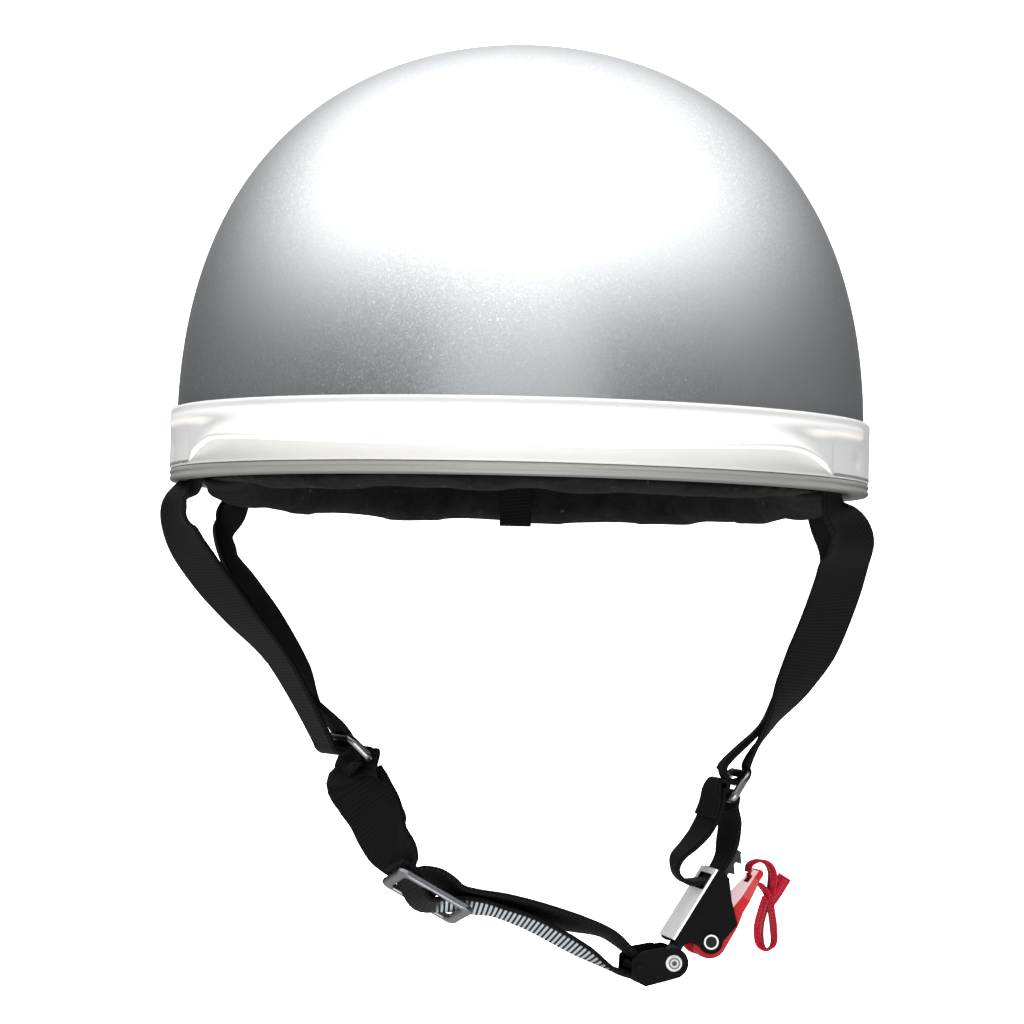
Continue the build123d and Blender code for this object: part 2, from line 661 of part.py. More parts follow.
# Red release lever: two hub discs and a sleeve on the pin, a pawl, and an arm with a ribbon slot
with BuildPart() as release_lever:
    with BuildSketch(buckle_plane):
        with BuildLine():
            Polyline((0, 0), (0, -HUB_RADIUS), (8.2, -5.0), (13.0, -4.1), (26.4, -4.1))
            Polyline((26.4, -4.1), (27.2, -3.1), (26.4, -2.1), (23.9, -2.0), (12.7, -0.6), (6.0, 1.2), (0, 0))
        make_face()
    extrude(amount=LEVER_HALF_WIDTH, both=True)
    with BuildSketch(buckle_plane):
        Circle(HUB_RADIUS)
    extrude(amount=LEVER_HALF_WIDTH, both=True)
    with BuildSketch(buckle_plane):
        with BuildLine():
            upper = CenterArc((0, 0), HUB_RADIUS + 1, -20, 250)
            Line(upper @ 1, (0, 0))
            Line((0, 0), upper @ 0)
        make_face()
        Circle(SPRING_RADIUS + 2 * SPRING_WIRE)
    extrude(amount=HUB_INSIDE, both=True, mode=Mode.SUBTRACT)
    with BuildSketch(buckle_plane):
        Circle(SLEEVE_RADIUS)
        with BuildLine():
            Polyline((-0.4, 2.4), (1.7, PAWL_REACH - 0.3), (2.6, 1.4), (0, 0), (-0.4, 2.4))
        make_face()
    extrude(amount=SLEEVE_HALF, both=True)
    with BuildSketch(buckle_plane):
        Circle(PIN_RADIUS + RUNNING_GAP)
    extrude(amount=LEVER_HALF_WIDTH, both=True, mode=Mode.SUBTRACT)
    with BuildSketch(lever_top_plane):
        with BuildLine():
            tip = (TONGUE_END, LEVER_TIP_HALF_WIDTH)
            Polyline((17, LEVER_HALF_WIDTH + 1), (17, LEVER_HALF_WIDTH), (24, LEVER_TIP_HALF_WIDTH), tip)
            Polyline(tip, (TONGUE_END, LEVER_HALF_WIDTH + 1), (17, LEVER_HALF_WIDTH + 1))
        make_face()
        mirror(about=Plane.XZ)
        slot_centre = (LEVER_SLOT[0] + LEVER_SLOT[1]) / 2
        with Locations((slot_centre, 0)):
            Rectangle(LEVER_SLOT[1] - LEVER_SLOT[0], 2 * LEVER_SLOT_HALF_WIDTH)
    extrude(amount=HUB_RADIUS, both=True, mode=Mode.SUBTRACT)
save(release_lever, "release_lever")

# Hinge pin with its two heads
with BuildPart() as lever_pin:
    with BuildSketch(buckle_plane):
        Circle(PIN_RADIUS)
    extrude(amount=cheek_outside, both=True)
    for face in (cheek_outside, -cheek_outside - PIN_HEAD):
        with BuildSketch(buckle_plane.offset(face)):
            Circle(PIN_HEAD_RADIUS)
        extrude(amount=PIN_HEAD)
save(lever_pin, "lever_pin")

# Torsion spring on the pin beside the sleeve
with BuildPart() as lever_spring:
    coil_start = buckle_plane.from_local_coords((0, 0, SLEEVE_HALF + 0.4))
    with BuildLine() as coil:
        Helix(
            SPRING_PITCH,
            SPRING_PITCH * SPRING_TURNS,
            SPRING_RADIUS,
            center=coil_start,
            direction=buckle_plane.z_dir,
        )
    with BuildSketch(Plane(origin=coil.line @ 0, z_dir=coil.line % 0)):
        Circle(SPRING_WIRE)
    sweep(is_frenet=True)
save(lever_spring, "lever_spring")

# Toothed tongue: a flat blade with hooked teeth and an eye for the rivet
tongue_under = TONGUE_TOP - TONGUE_BODY
with BuildPart() as toothed_tongue:
    with BuildSketch(buckle_plane):
        with BuildLine():
            Polyline(
                (RIVET[0], tongue_under),
                (TONGUE_END, tongue_under),
                (TONGUE_END, TONGUE_TOP),
                (RIVET[0], TONGUE_TOP),
                close=True,
            )
        make_face()
    extrude(amount=TONGUE_HALF_WIDTH, both=True)
    with BuildSketch(buckle_plane):
        for index in range(TOOTH_COUNT):
            tip = FIRST_TOOTH + index * TOOTH_PITCH
            with BuildLine():
                Polyline(
                    (tip, TOOTH_TIP),
                    (tip + 0.4, tongue_under),
                    (tip + TOOTH_PITCH - 0.9, tongue_under),
                    close=True,
                )
            make_face()
    extrude(amount=TOOTH_HALF_WIDTH, both=True)
    with BuildSketch(plane_in(buckle_plane, RIVET, 0)):
        Circle(RIVET_EYE)
    extrude(amount=TONGUE_HALF_WIDTH, both=True)
    with BuildSketch(plane_in(buckle_plane, RIVET, 0)):
        Circle(RIVET_RADIUS + RUNNING_GAP)
    extrude(amount=TONGUE_HALF_WIDTH, both=True, mode=Mode.SUBTRACT)
save(toothed_tongue, "toothed_tongue")

# Strap end bracket: two cheeks on the rivet, joined under the webbing bar
with BuildPart() as strap_end_bracket:
    with BuildSketch(bracket_plane):
        with BuildLine():
            FilletPolyline(
                (-3.2, 4.6),
                (-9.4, 3.4),
                (-12.8, 1.0),
                (-13.0, -4.2),
                (-8.6, -7.2),
                (-4.0, -6.0),
                (2.4, -4.2),
                (2.4, 3.4),
                radius=0.8,
                close=True,
            )
        make_face()
        Circle(BRACKET_LOBE)
        Circle(RIVET_RADIUS, mode=Mode.SUBTRACT)
        with Locations(BRACKET_BAR):
            Circle(BRACKET_BAR_RADIUS, mode=Mode.SUBTRACT)
    extrude(amount=cheek_outside, both=True)
    with BuildSketch(bracket_plane):
        with BuildLine():
            Polyline(
                (-20, -20),
                (-9, -20),
                (-9, -6.1),
                (-4.2, -5.2),
                (2.4, -3.4),
                (10, -3.4),
                (10, 20),
                (-20, 20),
                close=True,
            )
        make_face()
    extrude(amount=CHEEK_INSIDE, both=True, mode=Mode.SUBTRACT)
save(strap_end_bracket, "strap_end_bracket")

with BuildPart() as bracket_bar:
    with BuildSketch(plane_in(bracket_plane, BRACKET_BAR, 0)):
        Circle(BRACKET_BAR_RADIUS)
    extrude(amount=cheek_outside + 0.5, both=True)
save(bracket_bar, "bracket_bar")

# Rivet of the tongue, with the spacers beside the tongue's eye and the washers under its heads
with BuildPart() as tongue_rivet:
    with BuildSketch(bracket_plane):
        Circle(RIVET_RADIUS)
    extrude(amount=cheek_outside + WASHER, both=True)
    for face in (cheek_outside + WASHER, -cheek_outside - WASHER - RIVET_HEAD):
        with BuildSketch(bracket_plane.offset(face)):
            Circle(RIVET_HEAD_RADIUS)
        extrude(amount=RIVET_HEAD)
save(tongue_rivet, "tongue_rivet")

with BuildPart() as rivet_washers:
    for face in (cheek_outside, -cheek_outside - WASHER):
        with BuildSketch(bracket_plane.offset(face)):
            Circle(WASHER_RADIUS)
            Circle(RIVET_RADIUS, mode=Mode.SUBTRACT)
        extrude(amount=WASHER)
save(rivet_washers, "rivet_washers")

spacer_length = CHEEK_INSIDE - TONGUE_HALF_WIDTH - 0.3
with BuildPart() as rivet_spacers:
    for face in (TONGUE_HALF_WIDTH + 0.3, -CHEEK_INSIDE):
        with BuildSketch(bracket_plane.offset(face)):
            Circle(SPACER_RADIUS)
            Circle(RIVET_RADIUS, mode=Mode.SUBTRACT)
        extrude(amount=spacer_length)
save(rivet_spacers, "rivet_spacers")

# Buckle strap: one loop of webbing through the housing's slot and round the right ring
def buckle_station(along, out):
    """Webbing station given in the buckle's own plane."""
    place = buckle_plane.from_local_coords((along, out, 0))
    return (place.X, place.Y, place.Z, -CHIN_TURN)


ring_lower_point = chin_point(*RIGHT_RING_LOWER)
buckle_route = (
    [chin_station(*place) for place in BUCKLE_STRAP_LEFT]
    + [buckle_station(*place) for place in BUCKLE_STRAP_IN_BUCKLE]
    + [chin_station(*place) for place in BUCKLE_STRAP_RIGHT]
    + round_bar(ring_lower_point, CHIN_TURN, eye_radius, -10, 120, 3)
    + [chin_station(*place) for place in BUCKLE_STRAP_FOLD]
)
with BuildPart() as buckle_strap:
    add(webbing(buckle_route, width=BUCKLE_STRAP_WIDTH, thickness=BUCKLE_STRAP))
save(buckle_strap, "buckle_strap")

# Pull ribbon: an eye round the lever's tip bar, a strand down to the knot, a tail and the loop
ribbon_plane = plane_in(buckle_plane, TIP_BAR, -TONGUE_ANGLE)
with BuildPart() as pull_ribbon:
    with BuildSketch(ribbon_plane):
        Circle(RIBBON_EYE + RIBBON)
        Circle(RIBBON_EYE, mode=Mode.SUBTRACT)
    extrude(amount=RIBBON_WIDTH / 2, both=True)
    for course in (RIBBON_STRAND, RIBBON_LOOP_LEFT, RIBBON_LOOP_RIGHT):
        with BuildSketch(ribbon_plane):
            with BuildLine():
                Spline(*course)
            trace(line_width=RIBBON_STRAND_WIDTH)
        extrude(amount=RIBBON, both=True)
    with BuildSketch(ribbon_plane):
        with BuildLine():
            Line(*RIBBON_TAIL)
        trace(line_width=RIBBON_WIDTH)
    extrude(amount=RIBBON / 2, both=True)
save(pull_ribbon, "pull_ribbon")
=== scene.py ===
from math import atan2, cos, exp, pi, radians, sin, sqrt

import bmesh
import bpy
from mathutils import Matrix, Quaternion, Vector, noise


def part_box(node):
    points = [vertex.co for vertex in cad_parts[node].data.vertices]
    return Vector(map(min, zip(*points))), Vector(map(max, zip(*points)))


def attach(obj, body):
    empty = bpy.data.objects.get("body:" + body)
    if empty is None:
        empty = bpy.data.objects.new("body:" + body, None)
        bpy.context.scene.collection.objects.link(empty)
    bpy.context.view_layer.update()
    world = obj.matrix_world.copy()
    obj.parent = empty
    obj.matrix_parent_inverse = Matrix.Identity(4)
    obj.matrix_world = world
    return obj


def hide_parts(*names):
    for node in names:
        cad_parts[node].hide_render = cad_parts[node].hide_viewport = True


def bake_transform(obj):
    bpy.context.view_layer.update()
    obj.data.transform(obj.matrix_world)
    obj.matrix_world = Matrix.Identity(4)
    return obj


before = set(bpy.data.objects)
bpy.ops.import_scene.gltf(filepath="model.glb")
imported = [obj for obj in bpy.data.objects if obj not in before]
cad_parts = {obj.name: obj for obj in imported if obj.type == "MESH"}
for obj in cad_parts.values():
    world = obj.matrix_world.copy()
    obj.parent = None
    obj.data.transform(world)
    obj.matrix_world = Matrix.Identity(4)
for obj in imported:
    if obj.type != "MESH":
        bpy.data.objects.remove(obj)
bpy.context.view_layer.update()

bl_info = {
    "name": "Half Shell Helmet",
    "version": (1, 0, 0),
    "blender": (4, 5, 0),
    "location": "3D View > Sidebar > Helmet",
    "description": "Builds the visible pieces of a half shell riding helmet over its solid frame",
    "category": "Object",
}

MM = 0.001

# Places of the straps: x, y, z in millimetres and the turn of the webbing in degrees
LEFT_FRONT_ROUTE = [
    (-97.6, -34.5, -0.8, -20), (-100.4, -33.5, -3.6, -24), (-102.4, -32.2, -7.2, -25),
    (-102.9, -30.2, -11.6, -33), (-101.3, -28.0, -17.0, -40), (-98.2, -25.0, -23.0, -46),
    (-92.6, -21.0, -31.0, -47), (-83.9, -16.6, -41.5, -41), (-72.5, -12.0, -54.5, -28),
]
LEFT_REAR_ROUTE = [
    (-62.4, -3.5, -66.5, -4), (-69.6, 3.0, -54.0, 12), (-79.8, 13.0, -39.5, 15), (-88.2, 22.0, -29.0, 14),
    (-94.0, 31.0, -20.0, 6), (-95.6, 35.6, -16.0, 2), (-96.4, 39.4, -11.0, 6), (-94.6, 43.2, -5.4, 17),
]
RIGHT_FRONT_ROUTE = [
    (96.9, -35.5, -5.0, 20), (99.6, -33.6, -9.6, 30), (101.6, -29.0, -15.6, 42),
    (100.4, -23.0, -22.5, 47), (97.6, -18.0, -32.5, 50), (92.6, -14.0, -46.0, 50),
    (86.0, -11.5, -59.0, 34), (79.8, -10.5, -70.0, 8),
]
RIGHT_REAR_ROUTE = [
    (77.0, -3.0, -71.0, -2), (83.0, 6.0, -59.0, -2), (90.0, 17.0, -44.0, -6),
    (95.5, 28.0, -29.5, -10), (97.6, 37.2, -16.0, -14), (94.8, 42.6, -6.0, -17),
]
LEFT_RING_UPPER = (-53.9, -8.0, -77.9)
LEFT_RING_LOWER = (-47.9, -5.6, -83.9)
LEFT_RING_TURN = 22.0
CHIN_TURN = 11.5
CHIN_ORIGIN = (45.0, -14.0)
RIGHT_EYE = (24.3, -85.0)
RIGHT_RING_LOWER = (21.2, -93.6)
LEFT_EYE_END = [(-49.8, -7.8, -89.6, -40), (-51.4, -7.4, -87.2, -LEFT_RING_TURN)]
CHIN_DROP = [
    (-46.4, -6.4, -86.9, -24), (-48.4, -8.2, -90.6, -66), (-45.6, -10.5, -94.9, -64),
    (-42.0, -13.5, -99.9, -55), (-38.6, -18.0, -105.8, -47), (-34.9, -23.0, -110.0, -40),
    (-31.3, -27.0, -113.4, -32),
]
UPPER_LAYER = [
    (-74.8, -118.7, 14), (-72.1, -118.5, 15), (-68.4, -119.1, 15), (-64.9, -121.0, 14),
    (-61.8, -123.8, 15), (-57.0, -125.3, 16), (-47.8, -126.8, 17), (-39.2, -128.9, 18),
    (-25.2, -132.6, 15), (-14.0, -136.0, 6),
]
LOWER_LAYER = [
    (-12.7, -146.6, 0), (-22.0, -141.2, 9), (-30.4, -136.6, 11), (-38.4, -132.7, 11), (-48.0, -129.4, 10),
]
SLIDER_CENTRE = (-70.2, -125.0)
SLIDER_ANGLE = -29.0
SLIDER_ROLL = 14.0
SLIDER_WEAVE = [(15, 4.8), (10.4, 3.0), (6.2, 0.7), (0, -2.5), (-6.2, 0.7), (-10.4, 3.0), (-14, 3.4)]
PIVOT = (15.6, -137.1)
TONGUE_ANGLE = 58.8
RIVET = (-11.5, 6.3)
BRACKET_BAR = (-10.4, -1.8)
TIP_BAR = (25.8, -3.1)
BUCKLE_STRAP_LEFT = [
    (19.6, -90.4, 11), (18.4, -94.4, 18), (16.6, -99.0, 20), (13.8, -104.3, 19), (10.5, -108.3, 16),
    (6.8, -112.3, 11), (6.4, -116.4, 6), (9.4, -119.4, 8),
]
BUCKLE_STRAP_IN_BUCKLE = [(14.4, 10.4), (16.4, 8.35), (18.4, 8.05), (20.6, 8.05)]
BUCKLE_STRAP_RIGHT = [(21.4, -111.6, 14), (22.6, -106.6, 19), (23.1, -101.0, 19), (22.6, -96.6, 17)]
BUCKLE_STRAP_FOLD = [
    (20.6, -88.6, 11), (18.4, -88.2, 11), (17.3, -90.8, 15), (16.8, -95.2, 18), (15.3, -99.4, 19),
]
FRONT_ANCHOR_Y = -36.0
REAR_ANCHOR_Y = 44.0
STRAP_INSET = 101.0
# Direction of the lever's inner face in its own coordinates; that face gets a painted glow
LEVER_INNER_FACE = (-0.838, -0.17, 0.518)
DISC_REACH = 4

# Peak: angle from the front, reach past the band and height of the lip, millimetres
PEAK_SECTIONS = (
    (0, 26.0, 8.0), (15, 25.0, 8.3), (28, 21.0, 9.4), (38, 15.0, 10.4),
    (46, 9.0, 10.6), (52, 4.9, 9.4), (57, 2.3, 7.6), (61.5, 0.9, 4.9),
)


def length_property(name, description, default):
    """Size setting in metres."""
    return bpy.props.FloatProperty(name=name, description=description, default=default, unit="LENGTH")


def share_property(name, description, default):
    """Setting without a unit."""
    return bpy.props.FloatProperty(name=name, description=description, default=default, subtype="FACTOR")


def colour_property(name, description, default):
    """Linear colour setting shown as a swatch."""
    return bpy.props.FloatVectorProperty(
        name=name, description=description, default=default, subtype="COLOR", size=3, min=0, max=1
    )


class HelmetShape(bpy.types.PropertyGroup):
    """Main sizes of the visible pieces."""

    half_width: length_property("Half width", "Half the shell's width", 0.1065)
    length_ratio: share_property("Length ratio", "Length of the oval over its width", 1.18)
    crown: length_property("Crown height", "Top of the shell over its rim", 0.1378)
    spring_line: length_property("Spring line", "Height where the wall starts to curve", 0.0175)
    side_fullness: share_property("Side fullness", "How long the dome's sides stay upright", 0.785)
    crown_fullness: share_property("Crown fullness", "How far the dome's crown stays level", 0.42)
    wall: length_property("Shell wall", "Thickness of the shell", 0.0025)
    band_wall: length_property("Band wall", "Thickness of the white band", 0.0017)
    band_bottom: length_property("Band bottom", "Lower edge of the white band", 0.0038)
    band_top: length_property("Band top", "Upper edge of the white band", 0.0223)
    webbing_width: length_property("Webbing width", "Width of the straps", 0.020)
    webbing: length_property("Webbing thickness", "Thickness of the straps", 0.0017)


class HelmetColours(bpy.types.PropertyGroup):
    """Colours of the materials."""

    paint: colour_property("Paint", "Silver paint of the shell", (0.46, 0.475, 0.49))
    band: colour_property("Band", "Soft white moulding", (0.60, 0.603, 0.597))
    trim: colour_property("Trim", "Double bead trim", (0.31, 0.31, 0.30))
    fleece: colour_property("Fleece", "Headband lining", (0.0055, 0.006, 0.0055))
    webbing: colour_property("Webbing", "Woven straps", (0.004, 0.004, 0.0042))
    # Colour of the painted glints on the rib crests of the chin strap's downward face, a painted reflection
    # rather than a colour of the yarn
    rib: colour_property("Rib", "Light ribs of the webbing's underside", (0.42, 0.46, 0.48))
    foam: colour_property("Foam", "Foam of the liner", (0.03, 0.03, 0.031))
    steel: colour_property("Steel", "Plated steel", (0.62, 0.62, 0.62))
    wire: colour_property("Wire", "Dark plated wire", (0.20, 0.20, 0.21))
    gunmetal: colour_property("Gunmetal", "Plating of the slider", (0.16, 0.165, 0.175))
    black_metal: colour_property("Black metal", "Coated steel of the buckle", (0.0035, 0.0035, 0.004))
    black_plastic: colour_property("Black plastic", "Moulded tongue", (0.008, 0.008, 0.008))
    # Pale colour of the plate behind the housing, partly its own bright plating and partly a painted
    # reflection; the same colour makes the painted highlight rings on the pin and rivet heads
    bright: colour_property("Bright strip", "Plate behind the housing", (0.85, 0.86, 0.86))
    red: colour_property("Red", "Clear red lever", (0.50, 0.005, 0.008))
    ribbon: colour_property("Ribbon", "Crimson pull ribbon", (0.35, 0.006, 0.02))
    backdrop: colour_property("Backdrop", "Floor and backdrop", (0.90, 0.90, 0.90))


def shape():
    return bpy.context.scene.helmet_shape


def colours():
    return bpy.context.scene.helmet_colours


# Material helpers

def feed(tree, target, inputs):
    """Give inputs, by name or number, a fixed value or a link."""
    for key, value in inputs.items():
        if isinstance(value, bpy.types.NodeSocket):
            tree.links.new(value, target.inputs[key])
        else:
            target.inputs[key].default_value = value


def shader_node(tree, kind, inputs=None, **settings):
    made = tree.nodes.new("ShaderNode" + kind)
    for key, value in settings.items():
        setattr(made, key, value)
    feed(tree, made, inputs or {})
    return made


def new_material(name):
    """Empty node material with its principled shader."""
    material = bpy.data.materials.new(name)
    material.use_nodes = True
    return material, material.node_tree, material.node_tree.nodes["Principled BSDF"]


def coordinates(tree, scale=(1, 1, 1), turn=(0, 0, 0)):
    """The object's own coordinates in metres, scaled and turned."""
    place = shader_node(tree, "TexCoord").outputs["Object"]
    return shader_node(tree, "Mapping", {"Vector": place, "Scale": scale, "Rotation": turn}).outputs["Vector"]


def noise_of(tree, vector, scale, detail=3.0, roughness=0.5):
    inputs = {"Vector": vector, "Scale": scale, "Detail": detail, "Roughness": roughness}
    return shader_node(tree, "TexNoise", inputs).outputs["Fac"]


def cells(tree, vector, scale, output):
    return shader_node(tree, "TexVoronoi", {"Vector": vector, "Scale": scale}).outputs[output]


def ramp(tree, fac, stops):
    """Colour ramp through (position, grey or colour) stops."""
    made = shader_node(tree, "ValToRGB", {"Fac": fac})
    elements = made.color_ramp.elements
    while len(elements) < len(stops):
        elements.new(0.5)
    for element, (position, value) in zip(elements, stops):
        element.position = position
        grey = isinstance(value, (int, float))
        element.color = (value, value, value, 1) if grey else (*value, 1)
    return made.outputs["Color"]


def varied(tree, fac, low, high):
    """Value or colour that wanders between two with a noise."""
    return ramp(tree, fac, ((0.3, low), (0.7, high)))


def mixed(tree, fac, first, second):
    """Mix of two colours or sockets by a factor socket."""
    first, second = (v if isinstance(v, bpy.types.NodeSocket) else (*v, 1) for v in (first, second))
    return shader_node(tree, "Mix", {"Factor": fac, 6: first, 7: second}, data_type="RGBA").outputs[2]


def bumped(tree, shader, height, distance, strength=1.0, after=None):
    """Bump from a height socket into the shader's normal."""
    inputs = {"Height": height, "Distance": distance, "Strength": strength}
    if after is not None:
        inputs["Normal"] = after
    normal = shader_node(tree, "Bump", inputs).outputs["Normal"]
    feed(tree, shader, {"Normal": normal})
    return normal


def maths(tree, operation, first, second=0.0):
    return shader_node(tree, "Math", {0: first, 1: second}, operation=operation).outputs[0]


def vector_maths(tree, operation, first, second=(0, 0, 0), output="Vector"):
    return shader_node(tree, "VectorMath", {0: first, 1: second}, operation=operation).outputs[output]


def facing(tree, direction):
    """How far a surface faces a direction of its own object, from -1 to 1."""
    normal = shader_node(tree, "TexCoord").outputs["Normal"]
    return vector_maths(tree, "DOT_PRODUCT", normal, direction, "Value")


def attribute_of(tree, name):
    return shader_node(tree, "Attribute", attribute_name=name).outputs["Fac"]


def scaled(colour, factor):
    return tuple(min(1.0, channel * factor) for channel in colour)


def paint_material():
    """Silver paint: fine metal flake under a satin clear coat, a little uneven."""
    material, tree, shader = new_material("silver_paint")
    base = colours().paint
    place = coordinates(tree)
    flake = cells(tree, place, 2600, "Color")
    spark = ramp(tree, flake, ((0.0, scaled(base, 0.72)), (0.75, base[:]), (1.0, scaled(base, 1.5))))
    cloud = varied(tree, noise_of(tree, place, 14, 2), 0.0, 1.0)
    feed(tree, shader, {
        "Base Color": mixed(tree, cloud, spark, scaled(base, 1.02)),
        "Roughness": varied(tree, noise_of(tree, place, 900, 1), 0.31, 0.37),
        "Metallic": 0.85,
        "Coat Weight": 0.1,
        "Coat Roughness": 0.28,
    })
    bumped(tree, shader, noise_of(tree, place, 1500, 1), 0.00002, 0.6)
    return material


def band_material():
    """Soft white moulding with a faint leather grain; the peak's underside gets a painted cream glow of light
    through the thin peak and from below.
    """
    material, tree, shader = new_material("white_pvc")
    base = colours().band
    place = coordinates(tree)
    stain = ramp(tree, noise_of(tree, place, 30, 4), ((0.35, base[:]), (0.8, scaled(base, 0.96))))
    feed(tree, shader, {
        # Painted light: the underside share tints the peak's underside cream, a painted glow of light shining
        # through the thin peak and up from below
        "Base Color": mixed(tree, attribute_of(tree, "underside"), stain, (1.0, 0.965, 0.91)),
        "Roughness": varied(tree, noise_of(tree, place, 400, 2), 0.38, 0.5),
        "Subsurface Weight": 0.15,
        "Subsurface Scale": 0.002,
        "Subsurface Radius": (1.0, 0.8, 0.6),
    })
    bumped(tree, shader, cells(tree, place, 1100, "Distance"), 0.00004, 0.35)
    return material


def trim_material():
    """White trim, given a darker grey than the band, streaked along its run, with painted shade on its faces
    that turn downward.
    """
    material, tree, shader = new_material("white_trim")
    base = colours().trim
    place = coordinates(tree)
    tone = varied(tree, noise_of(tree, coordinates(tree, (20, 20, 900)), 1, 3), scaled(base, 0.9), base[:])
    # Painted shade: faces that turn downward are darkened to about a third of the trim's grey, standing in
    # for the shadow under the peak and rim
    under = ramp(tree, maths(tree, "MULTIPLY", facing(tree, (0, 0, 1)), -1.0), ((0.1, 0.0), (0.7, 1.0)))
    feed(tree, shader, {"Base Color": mixed(tree, under, tone, scaled(base, 0.35)), "Roughness": 0.3})
    bumped(tree, shader, noise_of(tree, place, 500, 3), 0.00005, 0.4)
    return material


def fleece_material():
    """Short black pile: fibrous bump, sheen and lint."""
    material, tree, shader = new_material("black_fleece")
    base = colours().fleece
    place = coordinates(tree)
    fibre = noise_of(tree, place, 1400, 5, 0.7)
    clump = noise_of(tree, place, 160, 4, 0.6)
    tone = varied(tree, clump, scaled(base, 0.55), scaled(base, 1.7))
    lint = ramp(tree, noise_of(tree, place, 420, 0), ((0.79, 0.0), (0.84, 1.0)))
    feed(tree, shader, {
        "Base Color": mixed(tree, lint, tone, scaled(base, 6.0)),
        "Roughness": 0.95,
        "Specular IOR Level": 0.04,
        "Sheen Weight": 0.05,
        "Sheen Roughness": 0.5,
        "Sheen Tint": (0.55, 0.6, 0.55, 1),
    })
    first = bumped(tree, shader, clump, 0.0007, 0.8)
    bumped(tree, shader, fibre, 0.0004, 0.9, after=first)
    return material


def knit_material():
    """Fine knitted lining cloth."""
    material, tree, shader = new_material("lining_cloth")
    base = colours().fleece
    place = coordinates(tree)
    inputs = {"Vector": place, "Scale": 420, "Distortion": 1.5}
    wave = shader_node(tree, "TexWave", inputs, bands_direction="DIAGONAL").outputs["Fac"]
    tone = ramp(tree, wave, ((0.2, scaled(base, 0.6)), (0.8, scaled(base, 1.8))))
    feed(tree, shader, {"Base Color": tone, "Roughness": 0.85, "Sheen Weight": 0.25})
    first = bumped(tree, shader, wave, 0.0002, 0.6)
    bumped(tree, shader, noise_of(tree, place, 90, 3), 0.0008, 0.5, after=first)
    return material


def foam_material():
    """Moulded bead foam: packed round cells."""
    material, tree, shader = new_material("bead_foam")
    base = colours().foam
    cell = cells(tree, coordinates(tree), 380, "Distance")
    tone = ramp(tree, cell, ((0.1, scaled(base, 1.5)), (0.6, scaled(base, 0.5))))
    feed(tree, shader, {"Base Color": tone, "Roughness": 0.7})
    bumped(tree, shader, maths(tree, "MULTIPLY", cell, -1.0), 0.0006, 0.8)
    return material


def wave_of(tree, value, pitch):
    """Smooth wave from 0 to 1 with a pitch."""
    wave = maths(tree, "SINE", maths(tree, "MULTIPLY", value, 2 * pi / pitch))
    return maths(tree, "ADD", maths(tree, "MULTIPLY", wave, 0.5), 0.5)


def webbing_material(name, base, rib=None, sheen=0.01, contrast=0.4, pitch=1.15):
    """Flat woven webbing: ribs across its width, with yarns along them; UVs are in millimetres."""
    material, tree, shader = new_material(name)
    place = shader_node(tree, "UVMap").outputs["UV"]
    split = shader_node(tree, "SeparateXYZ", {"Vector": place})
    across, along = split.outputs["X"], split.outputs["Y"]
    ribs = wave_of(tree, maths(tree, "ADD", along, maths(tree, "MULTIPLY", across, 0.12)), pitch)
    yarn = wave_of(tree, across, 0.8)
    weave = maths(tree, "ADD", maths(tree, "MULTIPLY", ribs, 0.75), maths(tree, "MULTIPLY", yarn, 0.25))
    fuzz = noise_of(tree, place, 4.0, 4, 0.7)
    tone = ramp(tree, weave, ((0.1, scaled(base, 1 - contrast)), (0.9, scaled(base, 1 + contrast))))
    tone = mixed(tree, ramp(tree, fuzz, ((0.45, 0.0), (0.75, 0.5))), tone, scaled(base, 1 + 2 * contrast))
    # Painted reflection: where a piece asks for it, the rib crests are lightened towards the rib colour,
    # standing in for white surroundings glinting off the glossy ribs
    if rib is not None:
        crest = ramp(tree, ribs, ((0.35, 0.0), (0.6, 1.0)))
        glint_share = maths(tree, "MULTIPLY", crest, attribute_of(tree, "painted_rib_glint"))
        tone = mixed(tree, glint_share, tone, ramp(tree, fuzz, ((0.3, scaled(rib, 0.7)), (0.6, rib[:]))))
    feed(tree, shader, {
        "Base Color": tone,
        "Roughness": 0.62,
        "Specular IOR Level": 0.06,
        "Sheen Weight": sheen,
        "Sheen Roughness": 0.4,
    })
    bumped(tree, shader, weave, 0.00012, 0.6)
    return material


def metal_material(name, base, roughness, brush=0.3, metallic=1.0, scratch=0.0, specular=0.5, glow=0.0):
    """Plated or coated metal with fine directional wear; glow, where given, is a painted white glow set as
    emission.
    """
    material, tree, shader = new_material(name)
    brushing = noise_of(tree, coordinates(tree, (300, 300, 2600), turn=(0.5, 0.3, 0.9)), 1, 3)
    tone = varied(tree, noise_of(tree, coordinates(tree), 180, 4), scaled(base, 0.85), scaled(base, 1.1))
    if scratch:
        mark = noise_of(tree, coordinates(tree, (150, 900, 500)), 1.5, 6, 0.8)
        tone = mixed(tree, ramp(tree, mark, ((0.68, 0.0), (0.72, scratch))), tone, (0.25, 0.25, 0.25))
    feed(tree, shader, {
        "Base Color": tone,
        "Roughness": varied(tree, brushing, roughness * (1 - brush), roughness * (1 + brush)),
        "Metallic": metallic,
        "Specular IOR Level": specular,
        # Painted light: the emission gives the surface a glow of its own, though it is no lamp
        "Emission Color": (1, 1, 1, 1),
        "Emission Strength": glow,
    })
    bumped(tree, shader, brushing, 0.00002, 0.3)
    return material


def plastic_material(name, base, roughness):
    """Moulded plastic with a fine spark texture."""
    material, tree, shader = new_material(name)
    place = coordinates(tree)
    feed(tree, shader, {
        "Base Color": varied(tree, noise_of(tree, place, 220, 4), scaled(base, 0.8), scaled(base, 1.25)),
        "Roughness": varied(tree, noise_of(tree, place, 500, 3), roughness * 0.8, roughness * 1.2),
    })
    bumped(tree, shader, noise_of(tree, place, 2200, 2), 0.00003, 0.5)
    return material


